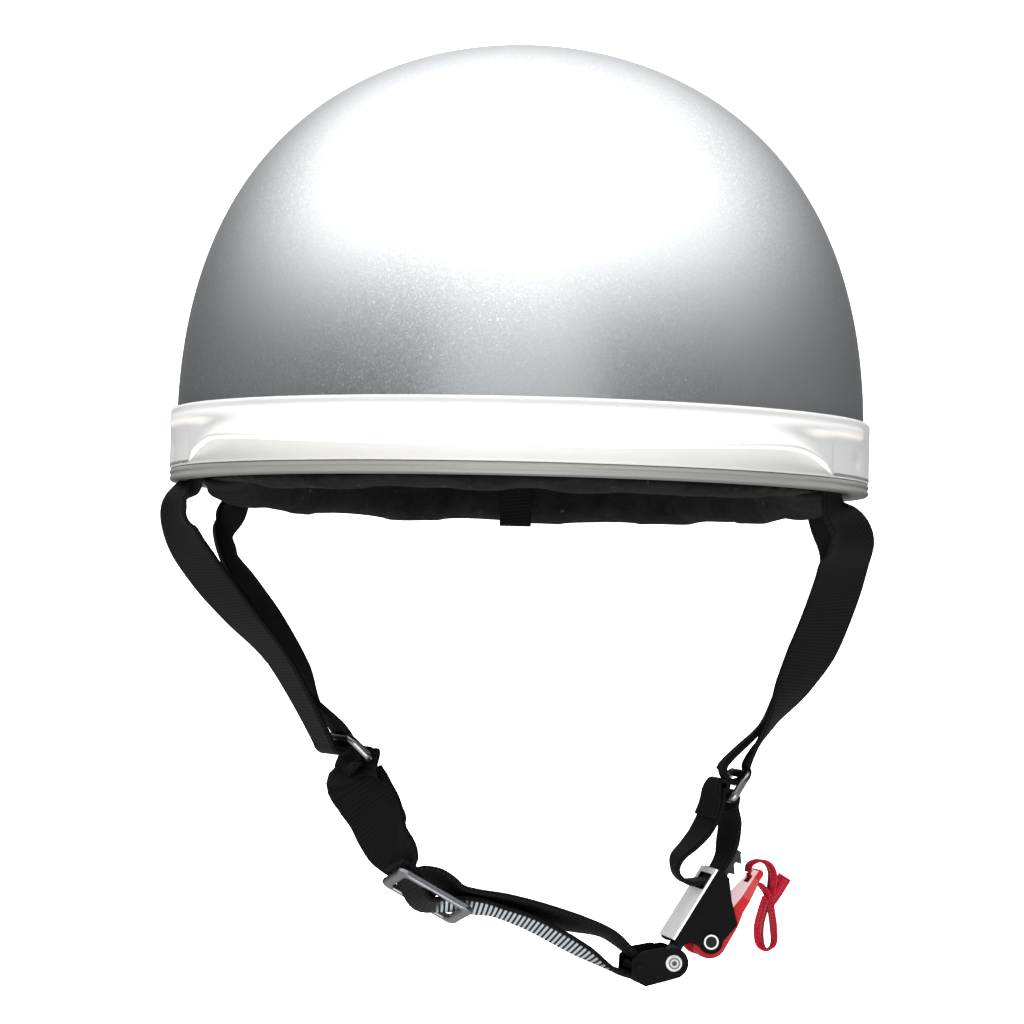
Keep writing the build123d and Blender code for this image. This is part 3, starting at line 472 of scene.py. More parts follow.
def lever_material():
    """Clear red moulding that keeps a gloss; its inner face is painted pinkish white and made to glow,
    standing in for light on it.
    """
    material, tree, shader = new_material("clear_red")
    base = colours().red
    place = coordinates(tree)
    depth = varied(tree, noise_of(tree, place, 70, 3), scaled(base, 0.75), base[:])
    # Painted light: the face turned towards the housing gets a pinkish-white colour and a pinkish emission
    # glow
    inner = ramp(tree, facing(tree, LEVER_INNER_FACE), ((0.8, 0.0), (0.9, 0.9)))
    feed(tree, shader, {
        "Base Color": mixed(tree, inner, depth, (0.95, 0.80, 0.80)),
        "Emission Color": mixed(tree, inner, (0.0, 0.0, 0.0), (0.55, 0.42, 0.44)),
        "Emission Strength": 1.0,
        "Specular IOR Level": 0.45,
        "Roughness": varied(tree, noise_of(tree, place, 600, 2), 0.14, 0.24),
        "Transmission Weight": 0.15,
        "IOR": 1.49,
        "Subsurface Weight": 0.3,
        "Subsurface Scale": 0.003,
        "Subsurface Radius": (1.0, 0.15, 0.1),
    })
    bumped(tree, shader, noise_of(tree, place, 300, 2), 0.00003, 0.2)
    return material


def disc_material(name, centre, stops):
    """Turned metal head: rings of tone round its axis, given as radius in millimetres and colour; the thin
    bright rings are painted highlights.
    """
    material, tree, shader = new_material(name)
    place = coordinates(tree)
    away = vector_maths(tree, "SUBTRACT", place, Vector(centre) * MM)
    axis = (sin(radians(CHIN_TURN)), -cos(radians(CHIN_TURN)), 0)
    reach = vector_maths(tree, "LENGTH", vector_maths(tree, "CROSS_PRODUCT", away, axis), output="Value")
    ring = maths(tree, "MULTIPLY", reach, 1 / (DISC_REACH * MM))
    tone = ramp(tree, ring, [(radius / DISC_REACH, tuple(colour)) for radius, colour in stops])
    wear = varied(tree, noise_of(tree, place, 900, 3), 0.85, 1.0)
    feed(tree, shader, {
        "Base Color": vector_maths(tree, "MULTIPLY", tone, wear), "Metallic": 0.3, "Roughness": 0.3,
    })
    bumped(tree, shader, ring, 0.0002, 0.3)
    return material


MATERIALS = {}


def material(name):
    return MATERIALS[name]


# Mesh helpers

def mesh_object(name, points, faces, surface, uvs=None):
    """Object from points in millimetres, faces and one material."""
    mesh = bpy.data.meshes.new(name)
    mesh.from_pydata([Vector(point) * MM for point in points], [], faces)
    if uvs is not None:
        layer = mesh.uv_layers.new(name="UVMap")
        for polygon in mesh.polygons:
            for loop, vertex in zip(polygon.loop_indices, polygon.vertices):
                layer.data[loop].uv = uvs[vertex]
    mesh.materials.append(surface)
    shade_smooth(mesh)
    mesh.update()
    piece = bpy.data.objects.new(name, mesh)
    bpy.context.scene.collection.objects.link(piece)
    return piece


def shade_smooth(mesh):
    mesh.polygons.foreach_set("use_smooth", [True] * len(mesh.polygons))


def point_values(piece, name, values):
    """Keep one number for each point under a name that the materials read."""
    piece.data.attributes.new(name, "FLOAT", "POINT").data.foreach_set("value", values)


def grid_faces(rows, columns, wrap_rows=False, wrap_columns=False):
    """Quads of a grid of rows times columns points, row by row."""
    faces = []
    for row in range(rows if wrap_rows else rows - 1):
        here, below = row * columns, (row + 1) % rows * columns
        for column in range(columns if wrap_columns else columns - 1):
            beside = (column + 1) % columns
            faces.append((here + column, here + beside, below + beside, below + column))
    return faces


def end_faces(rows, columns, base=0):
    """Faces that close the two ends of a tube of rows times columns points."""
    last = base + (rows - 1) * columns
    return [tuple(base + k for k in reversed(range(columns))), tuple(last + k for k in range(columns))]


def tidy_mesh(piece, merge=0.00001):
    """Join points closer than a distance, if one is given, and turn the faces outward."""
    work = bmesh.new()
    work.from_mesh(piece.data)
    if merge:
        bmesh.ops.remove_doubles(work, verts=work.verts, dist=merge)
    bmesh.ops.recalc_face_normals(work, faces=work.faces)
    work.to_mesh(piece.data)
    work.free()
    return piece


def add_modifier(piece, kind, **settings):
    modifier = piece.modifiers.new(kind.title(), kind)
    for key, value in settings.items():
        setattr(modifier, key, value)
    return modifier


def soften_edges(piece, width, angle):
    """Narrow rounded edges where faces meet at more than an angle in degrees."""
    add_modifier(piece, "BEVEL", width=width, segments=2, limit_method="ANGLE", angle_limit=radians(angle))
    add_modifier(piece, "WEIGHTED_NORMAL", keep_sharp=True)


def apply_modifiers(piece):
    """Replace a piece's mesh by what its modifiers make of it."""
    view = bpy.context.evaluated_depsgraph_get()
    result = bpy.data.meshes.new_from_object(piece.evaluated_get(view))
    piece.modifiers.clear()
    piece.data = result


def smoothstep(low, high, value):
    share = min(1.0, max(0.0, (value - low) / (high - low)))
    return share * share * (3 - 2 * share)


def hermite(start, end, leaving, arriving, t):
    """Smooth value between two, with its slopes at both ends."""
    return (
        start * (2 * t**3 - 3 * t**2 + 1) + leaving * (t**3 - 2 * t**2 + t)
        + end * (3 * t**2 - 2 * t**3) + arriving * (t**3 - t**2)
    )


def curve_through(points, steps):
    """Catmull-Rom points through vectors, a fixed count of steps to a span."""
    result = []
    last = len(points) - 1
    for span in range(last):
        p1, p2 = points[span], points[span + 1]
        p0 = points[span - 1] if span else p1 * 2 - p2
        p3 = points[span + 2] if span + 2 <= last else p2 * 2 - p1
        k0, k1, k2 = (sqrt(max((b - a).length, 1e-6)) for a, b in ((p0, p1), (p1, p2), (p2, p3)))
        out = (p1 - p0) / k0 - (p2 - p0) / (k0 + k1) + (p2 - p1) / k1
        into = (p2 - p1) / k1 - (p3 - p1) / (k1 + k2) + (p3 - p2) / k2
        result += [hermite(p1, p2, out * k1, into * k1, step / steps) for step in range(steps)]
    result.append(points[-1])
    return result


def dome_profile(half_width, crown, steps):
    """Half profile of the dome from the spring line to the crown, millimetres."""
    s = shape()
    spring = s.spring_line / MM
    rise = s.side_fullness * (crown - spring)
    corners = (
        (half_width, spring), (half_width, spring + rise), (s.crown_fullness * half_width, crown), (0, crown),
    )
    points = []
    for step in range(steps + 1):
        t = step / steps
        weights = ((1 - t) ** 3, 3 * (1 - t) ** 2 * t, 3 * (1 - t) * t * t, t**3)
        points.append(tuple(sum(w * c[k] for w, c in zip(weights, corners)) for k in (0, 1)))
    return points


def oval_point(radius, angle, height):
    """Place on the stretched oval, the angle in degrees from the front."""
    turn = radians(angle)
    return (radius * sin(turn), -radius * shape().length_ratio * cos(turn), height)


def oval_offset(half_width, angle, outward, height):
    """Place a distance square out from the oval wall."""
    ratio = shape().length_ratio
    turn = radians(angle)
    x, y = half_width * sin(turn), -half_width * ratio * cos(turn)
    normal = Vector((x * ratio * ratio, y, 0)).normalized()
    return (x + normal.x * outward, y + normal.y * outward, height)


def oval_sweep(name, profile_at, angles, surface):
    """Sweep a closed profile, given as outward and height, round the oval."""
    points = []
    for angle in angles:
        loop = profile_at(angle)
        points += [oval_offset(half, angle, out, height) for out, height, half in loop]
    faces = grid_faces(len(angles), len(loop), wrap_rows=True, wrap_columns=True)
    return tidy_mesh(mesh_object(name, points, faces, surface))


# Straps

def chin_point(along, height):
    x = CHIN_ORIGIN[0] + along * cos(radians(CHIN_TURN))
    y = CHIN_ORIGIN[1] + along * sin(radians(CHIN_TURN))
    return (x, y, height)


def chin_station(along, height, roll=0.0):
    """Station in the chin plane; roll lifts the near edge, in degrees."""
    return (*chin_point(along, height), -CHIN_TURN, roll)


def chin_curl(along, height, turn):
    """Station over the chin plane with its own turn."""
    return (*chin_point(along, height), -turn)


def turned(place, origin, angle):
    """Place of a turned plane in its parent plane."""
    c, s = cos(radians(angle)), sin(radians(angle))
    return (origin[0] + place[0] * c - place[1] * s, origin[1] + place[0] * s + place[1] * c)


def buckle_place(along, out):
    """Buckle coordinates to chin plane coordinates."""
    return turned((along, out), PIVOT, TONGUE_ANGLE)


def round_bar(bar, turn, radius, start, end, steps):
    """Stations round a bar, from one angle to another."""
    stations = []
    for step in range(steps + 1):
        angle = radians(start + (end - start) * step / steps)
        aside = radius * cos(angle)
        x = bar[0] + aside * cos(radians(turn))
        y = bar[1] + aside * sin(radians(turn))
        stations.append((x, y, bar[2] + radius * sin(angle), -turn))
    return stations


def rim_station(side, y, z):
    ratio = shape().length_ratio
    swing = atan2(y / (STRAP_INSET * ratio), sqrt(1 - (y / (STRAP_INSET * ratio)) ** 2))
    turn = -side * atan2(sin(swing), ratio * cos(swing)) * 180 / pi
    return (side * STRAP_INSET * cos(swing), y, z, turn)


def webbing_section(width, thickness):
    """Closed outline of woven webbing: flat faces, thick selvages, rounded edges."""
    half, deep = width / 2, thickness / 2
    side = [(-half, 0), (-half + 0.12, deep * 0.62), (-half + 0.5, deep), (-half + 1.6, deep * 0.93)]
    side += [(-half / 2, deep * 0.96), (0, deep), (half / 2, deep * 0.96)]
    side += [(half - 1.6, deep * 0.93), (half - 0.5, deep), (half - 0.12, deep * 0.62), (half, 0)]
    return side + [(a, -n) for a, n in reversed(side[1:-1])]


def webbing_piece(name, stations, surface, width=None, thickness=None, light=None, steps=6):
    """Woven strap through its stations; light gives the share of painted glints on the ribs of its two faces.
    """
    width = width or shape().webbing_width / MM
    thickness = thickness or shape().webbing / MM
    places = [Vector(station[:3]) for station in stations]
    centres = curve_through(places, steps)
    # The small share of the place keeps stations with the same turn apart
    twists = [Vector((*(*s, 0.0)[3:5], 0)) + place * 1e-6 for s, place in zip(stations, places)]
    twists = curve_through(twists, steps)
    section = webbing_section(width, thickness)
    last = len(centres) - 1
    points, uvs, lights = [], [], []
    length = 0.0
    for index, centre in enumerate(centres):
        run = (centres[min(index + 1, last)] - centres[max(index - 1, 0)]).normalized()
        turn, roll = radians(twists[index].x), radians(twists[index].y)
        across = Vector((sin(turn), cos(turn), 0))
        across = (across - run * across.dot(run)).normalized()
        if roll:
            across.rotate(Quaternion(run, roll if run.x < 0 else -roll))
        normal = run.cross(across)
        if index:
            length += (centre - centres[index - 1]).length
        share = index / last * (len(stations) - 1)
        for aside, deep in section:
            points.append(centre + across * aside + normal * deep)
            uvs.append((aside, length))
            lights.append(light(share, deep) if light and abs(aside) < width / 2 - 0.3 else 0.0)
    faces = grid_faces(len(centres), len(section), wrap_columns=True) + end_faces(len(centres), len(section))
    piece = mesh_object(name, points, faces, surface, uvs=uvs)
    point_values(piece, "painted_rib_glint", lights)
    return tidy_mesh(piece, merge=0)


def ear_strap_stations(side):
    front = [rim_station(side, FRONT_ANCHOR_Y, z) for z in (21, 12, 4, -1)]
    rear = [rim_station(side, REAR_ANCHOR_Y, z) for z in (-1, 4, 12, 21)]
    if side < 0:
        eye = (LEFT_RING_UPPER[0] - 1.5, LEFT_RING_UPPER[1], LEFT_RING_UPPER[2] - 1.4)
        ring = round_bar(eye, LEFT_RING_TURN, 3.2, 190, 400, 9)
        return front[:3] + LEFT_FRONT_ROUTE + ring + LEFT_REAR_ROUTE + rear
    ring = round_bar(chin_point(*RIGHT_EYE), 4.0, 3.75, 20, -200, 8)
    return front + RIGHT_FRONT_ROUTE + ring + RIGHT_REAR_ROUTE + rear


# Operators

class HELMET_OT_materials(bpy.types.Operator):
    """Make the procedural materials"""

    bl_idname = "helmet.materials"
    bl_label = "Helmet materials"

    def execute(self, context):
        c = colours()
        dark, grey = c.black_metal, c.gunmetal
        pin, rivet = chin_point(*PIVOT), chin_point(*buckle_place(*RIVET))
        # The pin's head is dark with a painted highlight ring in the bright colour, standing in for light
        # caught on its rounded rim
        pin_rings_with_highlight = ((0, dark), (1.7, dark), (1.85, c.bright), (2.15, c.bright), (2.35, dark))
        # The rivet has grey and steel rings of its metal, and two thin painted highlight rings in the bright
        # colour on the rims of its head and washer
        rivet_rings_with_highlights = (
            (0, dark), (0.8, grey), (1.05, c.bright), (1.35, grey), (1.7, grey), (1.95, c.bright),
            (2.4, c.steel),
        )
        MATERIALS.update(
            paint=paint_material(),
            band=band_material(),
            trim=trim_material(),
            fleece=fleece_material(),
            knit=knit_material(),
            foam=foam_material(),
            webbing=webbing_material("black_webbing", c.webbing),
            # Chin strap webbing with painted glints on its rib crests
            ribbed=webbing_material("ribbed_webbing", c.webbing, rib=c.rib, pitch=1.5),
            ribbon=webbing_material("crimson_ribbon", c.ribbon, sheen=0.15, contrast=0.22),
            steel=metal_material("plated_steel", c.steel, 0.28),
            wire=metal_material("dark_wire", c.wire, 0.24),
            gunmetal=metal_material("gunmetal", grey, 0.32),
            black_metal=metal_material(
                "black_coating", dark, 0.42, metallic=0.0, scratch=0.15, specular=0.06,
            ),
            black_plastic=plastic_material("black_nylon", c.black_plastic, 0.45),
            # The plate is a pale non-metal with a painted glow, standing in for the white surroundings
            # reflected off its plating at a grazing angle
            bright=metal_material("bright_plate", c.bright, 0.35, brush=0.1, metallic=0.0, glow=0.22),
            red=lever_material(),
            pin=disc_material("pin_head", pin, pin_rings_with_highlight),
            rivet=disc_material("rivet_head", rivet, rivet_rings_with_highlights),
        )
        return {"FINISHED"}


class HELMET_OT_shell(bpy.types.Operator):
    """Build the painted shell"""

    bl_idname = "helmet.shell"
    bl_label = "Painted shell"

    def execute(self, context):
        s = shape()
        half, crown, wall = s.half_width / MM, s.crown / MM, s.wall / MM
        within = half - wall
        profile = [(half - 0.4, 0.8), (half, 1.2), (half, 3.0), (half, 8.0), (half, 14.0)]
        profile += dome_profile(half, crown, 96)
        inner = [(within + 0.4, 0.8), (within, 1.2), (within, 9.0)]
        inner += dome_profile(within, crown - wall, 48)
        profile += inner[::-1]
        columns = 224
        points = []
        for radius, height in profile:
            points += [oval_point(radius, 360 * k / columns, height) for k in range(columns)]
        faces = grid_faces(len(profile), columns, wrap_rows=True, wrap_columns=True)
        shell = tidy_mesh(mesh_object("painted_shell", points, faces, material("paint")))
        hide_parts("outer_shell")
        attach(shell, "helmet")
        return {"FINISHED"}


def peak_at(angle):
    """Reach and lip height of the peak at an angle from the front, with its smooth run."""
    across = abs(angle)
    sections = PEAK_SECTIONS
    for index, (low, high) in enumerate(zip(sections, sections[1:])):
        if across <= high[0]:
            before = sections[index - 1] if index else (-high[0], high[1], high[2])
            after = sections[index + 2] if index + 2 < len(sections) else high
            span = high[0] - low[0]
            result = []
            for k in (1, 2):
                leaving = (high[k] - before[k]) / (high[0] - before[0]) * span
                arriving = (after[k] - low[k]) / (after[0] - low[0]) * span
                result.append(hermite(low[k], high[k], leaving, arriving, (across - low[0]) / span))
            return result
    end, reach, lip = sections[-1]
    return reach * (1 - smoothstep(end, end + 0.6, across)), lip


def band_profile(angle):
    """Closed section of the band, with the peak at the front: outward, height, oval half width."""
    s = shape()
    half = s.half_width / MM + 0.2
    wall, bottom, top = s.band_wall / MM, s.band_bottom / MM, s.band_top / MM
    reach, lip = peak_at(angle)
    across = abs(angle)
    lip = max(lip, bottom + 0.9)
    root, swell = 18.2, 1.4 * (1 - smoothstep(72, 80, across))
    share, roll = min(1.0, reach / 2), min(1.05, reach / 2)
    outline = [(0.0, top - 0.7), (0.35, top - 0.1), (0.85, top), (1.35, top - 0.25), (wall, top - 0.9)]
    for height in (20.9, 20.2, 19.7, 19.2, 18.7):
        outline.append((wall + swell * exp(-(((height - root) / 1.25) ** 2)), height))
    # Top of the peak from the ridge to the lip
    for step in range(1, 31):
        t = step / 30
        height = root - (root - lip - 1.0) * (1 - (1 - t) ** 1.75)
        dimple = exp(-(((across - 73.5) / 1.7) ** 2) - ((height - 9.4) / 2.2) ** 2)
        ridge = swell * exp(-(((root - height) / 2.6) ** 2))
        outline.append((wall + ridge + reach * t - dimple, height))
    for step in range(1, 9):
        turn = radians(80 - 200 * step / 8)
        flat = lip + 1.0 - 0.2 * step
        outline.append((
            wall + share * (reach + roll * (cos(turn) - 0.2)),
            flat + share * (lip + roll * sin(turn) - flat),
        ))
    # Underside back to the band's lower edge
    for step in range(1, 17):
        t = step / 16
        rise = lip - 0.7 + (root - 4.2 - lip) * (1 - (1 - t) ** 1.3) * min(1.0, reach / 6)
        outline.append((wall + max(0.0, reach - 0.8) * (1 - t), max(bottom + 1.4, rise)))
    outline += [
        (wall, bottom + 1.1), (wall, bottom + 0.5), (wall - 0.25, bottom + 0.05), (wall - 0.7, bottom),
        (0.4, bottom), (0.05, bottom + 0.4), (0.0, 10.0),
    ]
    return [(out, height, half) for out, height in outline]


class HELMET_OT_band(bpy.types.Operator):
    """Build the white band with its peak"""

    bl_idname = "helmet.band"
    bl_label = "Band and peak"

    def execute(self, context):
        angles = [-180 + 1.5 * k for k in range(64)]
        angles += [-84 + 0.5 * k for k in range(336)]
        angles += [84 + 1.5 * k for k in range(64)]
        band = oval_sweep("visor_band_skin", band_profile, angles, material("band"))
        s = shape()
        # Share of the painted cream glow: points on the peak, out from the band's wall, whose faces turn
        # downward
        values = []
        for vertex in band.data.vertices:
            width = Vector((vertex.co.x, vertex.co.y / s.length_ratio)).length
            out = (width - s.half_width - s.band_wall) / MM
            values.append(smoothstep(0.5, 1.2, out) * smoothstep(0.1, -0.3, vertex.normal.z))
        point_values(band, "underside", values)
        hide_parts("visor_band")
        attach(band, "helmet")
        return {"FINISHED"}


def trim_profile(angle):
    """Closed section of the double bead trim, the same at each angle."""
    s = shape()
    half = s.half_width / MM
    inner = half - s.wall / MM
    outer = half + 0.2
    bead = 0.95
    centre = outer + 1.2 - bead / 2
    loop = [
        (inner - 1.1, 1.9), (inner - 1.2, 1.4), (inner - 1.2, 0.5), (inner - 0.9, 0.1),
        (inner - 0.3, -0.05), (half, -0.05),
    ]
    for height, first, pitch, count in ((0.9, -90, 22.5, 7), (2.75, -45, 16.8, 9)):
        for step in range(count):
            turn = radians(first + pitch * step)
            loop.append((centre + bead * cos(turn), height + bead * sin(turn)))
    loop += [
        (outer + 0.1, 3.6), (outer, 3.2), (outer, 0.9), (half, 0.7), (inner, 0.7), (inner - 0.1, 0.9),
        (inner - 0.2, 1.9), (inner - 0.6, 2.2),
    ]
    return [(r - half, z, half) for r, z in loop]


class HELMET_OT_trim(bpy.types.Operator):
    """Build the double bead trim"""

    bl_idname = "helmet.trim"
    bl_label = "Edge trim"

    def execute(self, context):
        trim = oval_sweep("edge_trim_beads", trim_profile, [1.25 * k for k in range(288)], material("trim"))
        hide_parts("edge_trim")
        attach(trim, "helmet")
        return {"FINISHED"}


PAD_MIDDLE = (85.5, 15)


def pad_profile(bottom, spread):
    """Closed section of a headband pad, radius and height; spread rolls it out below the rim."""
    back, face, top = 89.6, 80.6, 34.0
    path = [
        (back, 1.6), (97.6, 1.6), (98.3, 0.4),
        (96.4 + spread, bottom * 0.45), (92.6 + 0.8 * spread, bottom * 0.85),
        (88.4, bottom), (84.4, bottom + 0.9), (81.6, bottom + 4.6), (face, bottom + 10.5),
        (face + 0.2, 16.0), (face + 0.9, 25.0), (83.4, 31.6), (85.6, top - 0.3), (87.4, top - 1.4),
        (88.6, 22.0), (89.5, 10.0),
    ]
    vectors = [Vector((r, z, 0)) for r, z in path]
    closed = curve_through(vectors + vectors[:1], 3)[:-1]
    return [(p.x, p.y) for p in closed]


# Lower edges of the headband's two parts: angle from the front, height
FRONT_EDGE = (
    (-76, -0.6), (-62, -2.4), (-50, -4.4), (-36, -4.9), (-22, -3.7), (-10, -3.9), (-3, -4.6),
    (4, -3.6), (14, -4.6), (26, -4.4), (40, -4.8), (54, -4.2), (66, -2.6), (76, -0.8),
)
REAR_EDGE = (
    (78, -2.4), (92, -5.4), (106, -7.4), (122, -8.3), (138, -7.9), (150, -8.4), (164, -7.8),
    (178, -8.2), (192, -7.6), (206, -8.4), (222, -7.7), (238, -8.2), (254, -7.2), (268, -5.2), (282, -2.4),
)


def edge_height(table, angle):
    """Height of a pad's lower edge at an angle, through the listed places."""
    for (a, low), (b, high) in zip(table, table[1:]):
        if angle <= b:
            return low + (high - low) * smoothstep(a, b, angle)
    return table[-1][1]


def headband_piece(name, start, sweep, table):
    """Soft headband: a padded arc, tucked in at its ends, with its wavy lower edge."""
    columns = int(sweep / 1.1)
    middle, level = PAD_MIDDLE
    points = []
    for column in range(columns + 1):
        angle = start + sweep * column / columns
        end = min(column, columns - column) * sweep / columns
        tuck = sqrt(max(0.02, min(1.0, end / 3.0)))
        side = abs(180 - abs(angle))
        spread = 5.4 * smoothstep(70, 77, side) * smoothstep(105, 101, side) if table is REAR_EDGE else 0.0
        loop = pad_profile(edge_height(table, angle), spread)
        for radius, height in loop:
            r = middle + (radius - middle) * (0.55 + 0.45 * tuck)
            z = level + (height - level) * (0.93 + 0.07 * tuck)
            points.append(oval_point(r, angle, z))
    rows = len(loop)
    faces = grid_faces(columns + 1, rows, wrap_columns=True) + end_faces(columns + 1, rows)
    return tidy_mesh(mesh_object(name, points, faces, material("fleece")))


def coat(piece, name):
    """Give a piece one material in place of what it has."""
    piece.data.materials.clear()
    piece.data.materials.append(material(name))


def puff(piece, voxel, pressure, cap, shrink):
    """Blow a closed form up as cloth and keep each point within a cap of where it started."""
    add_modifier(piece, "REMESH", mode="VOXEL", voxel_size=voxel)
    apply_modifiers(piece)
    mesh = piece.data
    for vertex in mesh.vertices:
        vertex.co -= vertex.normal * shrink
    start = [vertex.co.copy() for vertex in mesh.vertices]
    cloth = add_modifier(piece, "CLOTH")
    cloth.settings.use_pressure = True
    cloth.settings.uniform_pressure_force = pressure
    cloth.settings.quality = 4
    cloth.settings.effector_weights.gravity = 0
    cloth.point_cache.frame_start = 1
    cloth.point_cache.frame_end = 20
    for step in range(1, 21):
        bpy.context.scene.frame_set(step)
    apply_modifiers(piece)
    for vertex, origin in zip(piece.data.vertices, start):
        move = vertex.co - origin
        if move.length > cap:
            vertex.co = origin + move * (cap / move.length)
    bpy.context.scene.frame_set(1)
    add_modifier(piece, "SMOOTH", factor=0.5, iterations=3)
    add_modifier(piece, "SUBSURF", levels=1, render_levels=1)
    apply_modifiers(piece)
    shade_smooth(piece.data)


def roughen(piece, size, scale):
    """Small uneven pile: move points along their normals by noise."""
    for vertex in piece.data.vertices:
        vertex.co += vertex.normal * (noise.noise(vertex.co * scale) * size)


class HELMET_OT_headband(bpy.types.Operator):
    """Build the fleece headband in its two parts, with the tab at the nape"""

    bl_idname = "helmet.headband"
    bl_label = "Headband"

    def execute(self, context):
        front = headband_piece("front_headband_cushion", -75.6, 151.2, FRONT_EDGE)
        rear = headband_piece("rear_headband_cushion", 78.4, 203.2, REAR_EDGE)
        for piece, node in ((front, "front_headband_pad"), (rear, "rear_headband_pad")):
            puff(piece, 0.0040, 2.5, 0.0020, 0.0006)
            roughen(piece, 0.0005, 70)
            coat(piece, "fleece")
            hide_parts(node)
            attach(piece, "helmet")
        low, high = (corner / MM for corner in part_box("nape_tab"))
        middle = (low + high) / 2
        stations = [(middle.x, middle.y, z, 90) for z in (high.z, middle.z, low.z)]
        tab = webbing_piece("nape_tab_loop", stations, material("webbing"), width=10.5, thickness=1.5)
        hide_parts("nape_tab")
        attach(tab, "helmet")
        return {"FINISHED"}


class HELMET_OT_linings(bpy.types.Operator):
    """Build the crown lining, its quilted seams and the crown pad"""

    bl_idname = "helmet.linings"
    bl_label = "Crown lining"

    def execute(self, context):
        # The inner face is drawn in at six quilted seams
        columns, lowest = 160, 36.0
        outer = [(*p, 0.0) for p in dome_profile(89.1, 113.1, 90) if p[1] >= lowest]
        inner = [(*p, 0.9) for p in dome_profile(87.9, 111.9, 90) if p[1] >= lowest]
        loop = outer + inner[::-1]
        points = []
        for radius, height, depth in loop:
            for k in range(columns):
                angle = 360 * k / columns
                seam = abs(((angle / 60 + 0.5) % 1) - 0.5) * 60
                pull = depth * exp(-((seam / 3.0) ** 2)) * min(1, radius / 30)
                points.append(oval_point(radius + pull, angle, height))
        faces = grid_faces(len(loop), columns, wrap_rows=True, wrap_columns=True)
        lining = tidy_mesh(mesh_object("quilted_lining", points, faces, material("knit")))
        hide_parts("crown_lining")
        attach(lining, "helmet")
        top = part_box("crown_pad")[1].z / MM
        rings, columns = 22, 96
        points = []
        for side in (1, -1):
            for ring in range(rings):
                share = ring / (rings - 1)
                radius = 41.0 * (share if side > 0 else 1 - share)
                height = top - 9.2 * (radius / 42.0) ** 2 - 0.6
                if side < 0:
                    height -= 7.4 * sqrt(max(0.0, 1 - (radius / 41.6) ** 4))
                    height += exp(-(((radius - 24) / 1.6) ** 2)) * 1.4
                for k in range(columns):
                    turn = 2 * pi * k / columns
                    points.append((radius * cos(turn), radius * sin(turn), height))
        faces = grid_faces(rings * 2, columns, wrap_columns=True)
        pad = tidy_mesh(mesh_object("crown_cushion", points, faces, material("fleece")))
        roughen(pad, 0.0003, 120)
        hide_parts("crown_pad")
        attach(pad, "helmet")
        return {"FINISHED"}


class HELMET_OT_ear_straps(bpy.types.Operator):
    """Build the two V-shaped ear straps"""

    bl_idname = "helmet.ear_straps"
    bl_label = "Ear straps"

    def execute(self, context):
        for side, node in ((-1, "left_ear_strap"), (1, "right_ear_strap")):
            strap = webbing_piece(node + "_webbing", ear_strap_stations(side), material("webbing"))
            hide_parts(node)
            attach(strap, "helmet")
        return {"FINISHED"}


class HELMET_OT_chin_strap(bpy.types.Operator):
    """Build the chin strap and the buckle's strap"""

    bl_idname = "helmet.chin_strap"
    bl_label = "Chin strap"

    def execute(self, context):
        first = LEFT_EYE_END + round_bar(LEFT_RING_LOWER, LEFT_RING_TURN, 2.8, 180, 20, 6)
        first += CHIN_DROP + [chin_station(*p) for p in UPPER_LAYER]
        bar = chin_point(*turned(BRACKET_BAR, buckle_place(*RIVET), 0))
        end = round_bar(bar, CHIN_TURN, 2.85, 80, -110, 6)
        back = [chin_station(*p) for p in LOWER_LAYER]
        weave = [turned(p, SLIDER_CENTRE, SLIDER_ANGLE) for p in SLIDER_WEAVE]
        weave = [chin_station(*p, SLIDER_ROLL) for p in weave]
        stations = first + end + back + weave
        low, last = len(first) + len(end), len(stations) - 1

        # Painted glints on the ribs show on one face, from the bracket's bar to before the slider
        def light(share, deep):
            shown = smoothstep(low - 0.5, low + 1, share) * (1 - smoothstep(last - 3.9, last - 3.5, share))
            return shown if deep > 0.2 else 0.0

        strap = webbing_piece("chin_webbing", stations, material("ribbed"), light=light)
        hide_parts("chin_strap")
        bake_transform(strap)
        ring = chin_point(*RIGHT_RING_LOWER)
        loop = [chin_curl(*p) for p in BUCKLE_STRAP_LEFT]
        loop += [chin_station(*buckle_place(*p)) for p in BUCKLE_STRAP_IN_BUCKLE]
        loop += [chin_curl(*p) for p in BUCKLE_STRAP_RIGHT]
        loop += round_bar(ring, CHIN_TURN, 2.45, -10, 110, 4)
        loop += [chin_curl(*p) for p in BUCKLE_STRAP_FOLD]
        strap = webbing_piece("buckle_webbing", loop, material("webbing"), width=19.6, thickness=1.4)
        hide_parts("buckle_strap")
        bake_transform(strap)
        return {"FINISHED"}


def rounded_loop(half_long, half_wide, corner, steps=6):
    """Rounded rectangle as places and outward directions, counterclockwise."""
    result = []
    for k, (sx, sy) in enumerate(((1, 1), (-1, 1), (-1, -1), (1, -1))):
        for step in range(steps + 1):
            turn = radians(90 * k + 90 * step / steps)
            aim = (cos(turn), sin(turn))
            place = (sx * (half_long - corner) + corner * aim[0], sy * (half_wide - corner) + corner * aim[1])
            result.append((*place, aim))
    return result


def cut_bar(wide, shoulder, flat):
    """Section of a flat bar with its four corners cut: half width, shoulder height, half flat."""
    half = [(wide, -shoulder), (wide, shoulder), (flat, 1.0), (-flat, 1.0)]
    return half + [(-out, -up) for out, up in half]


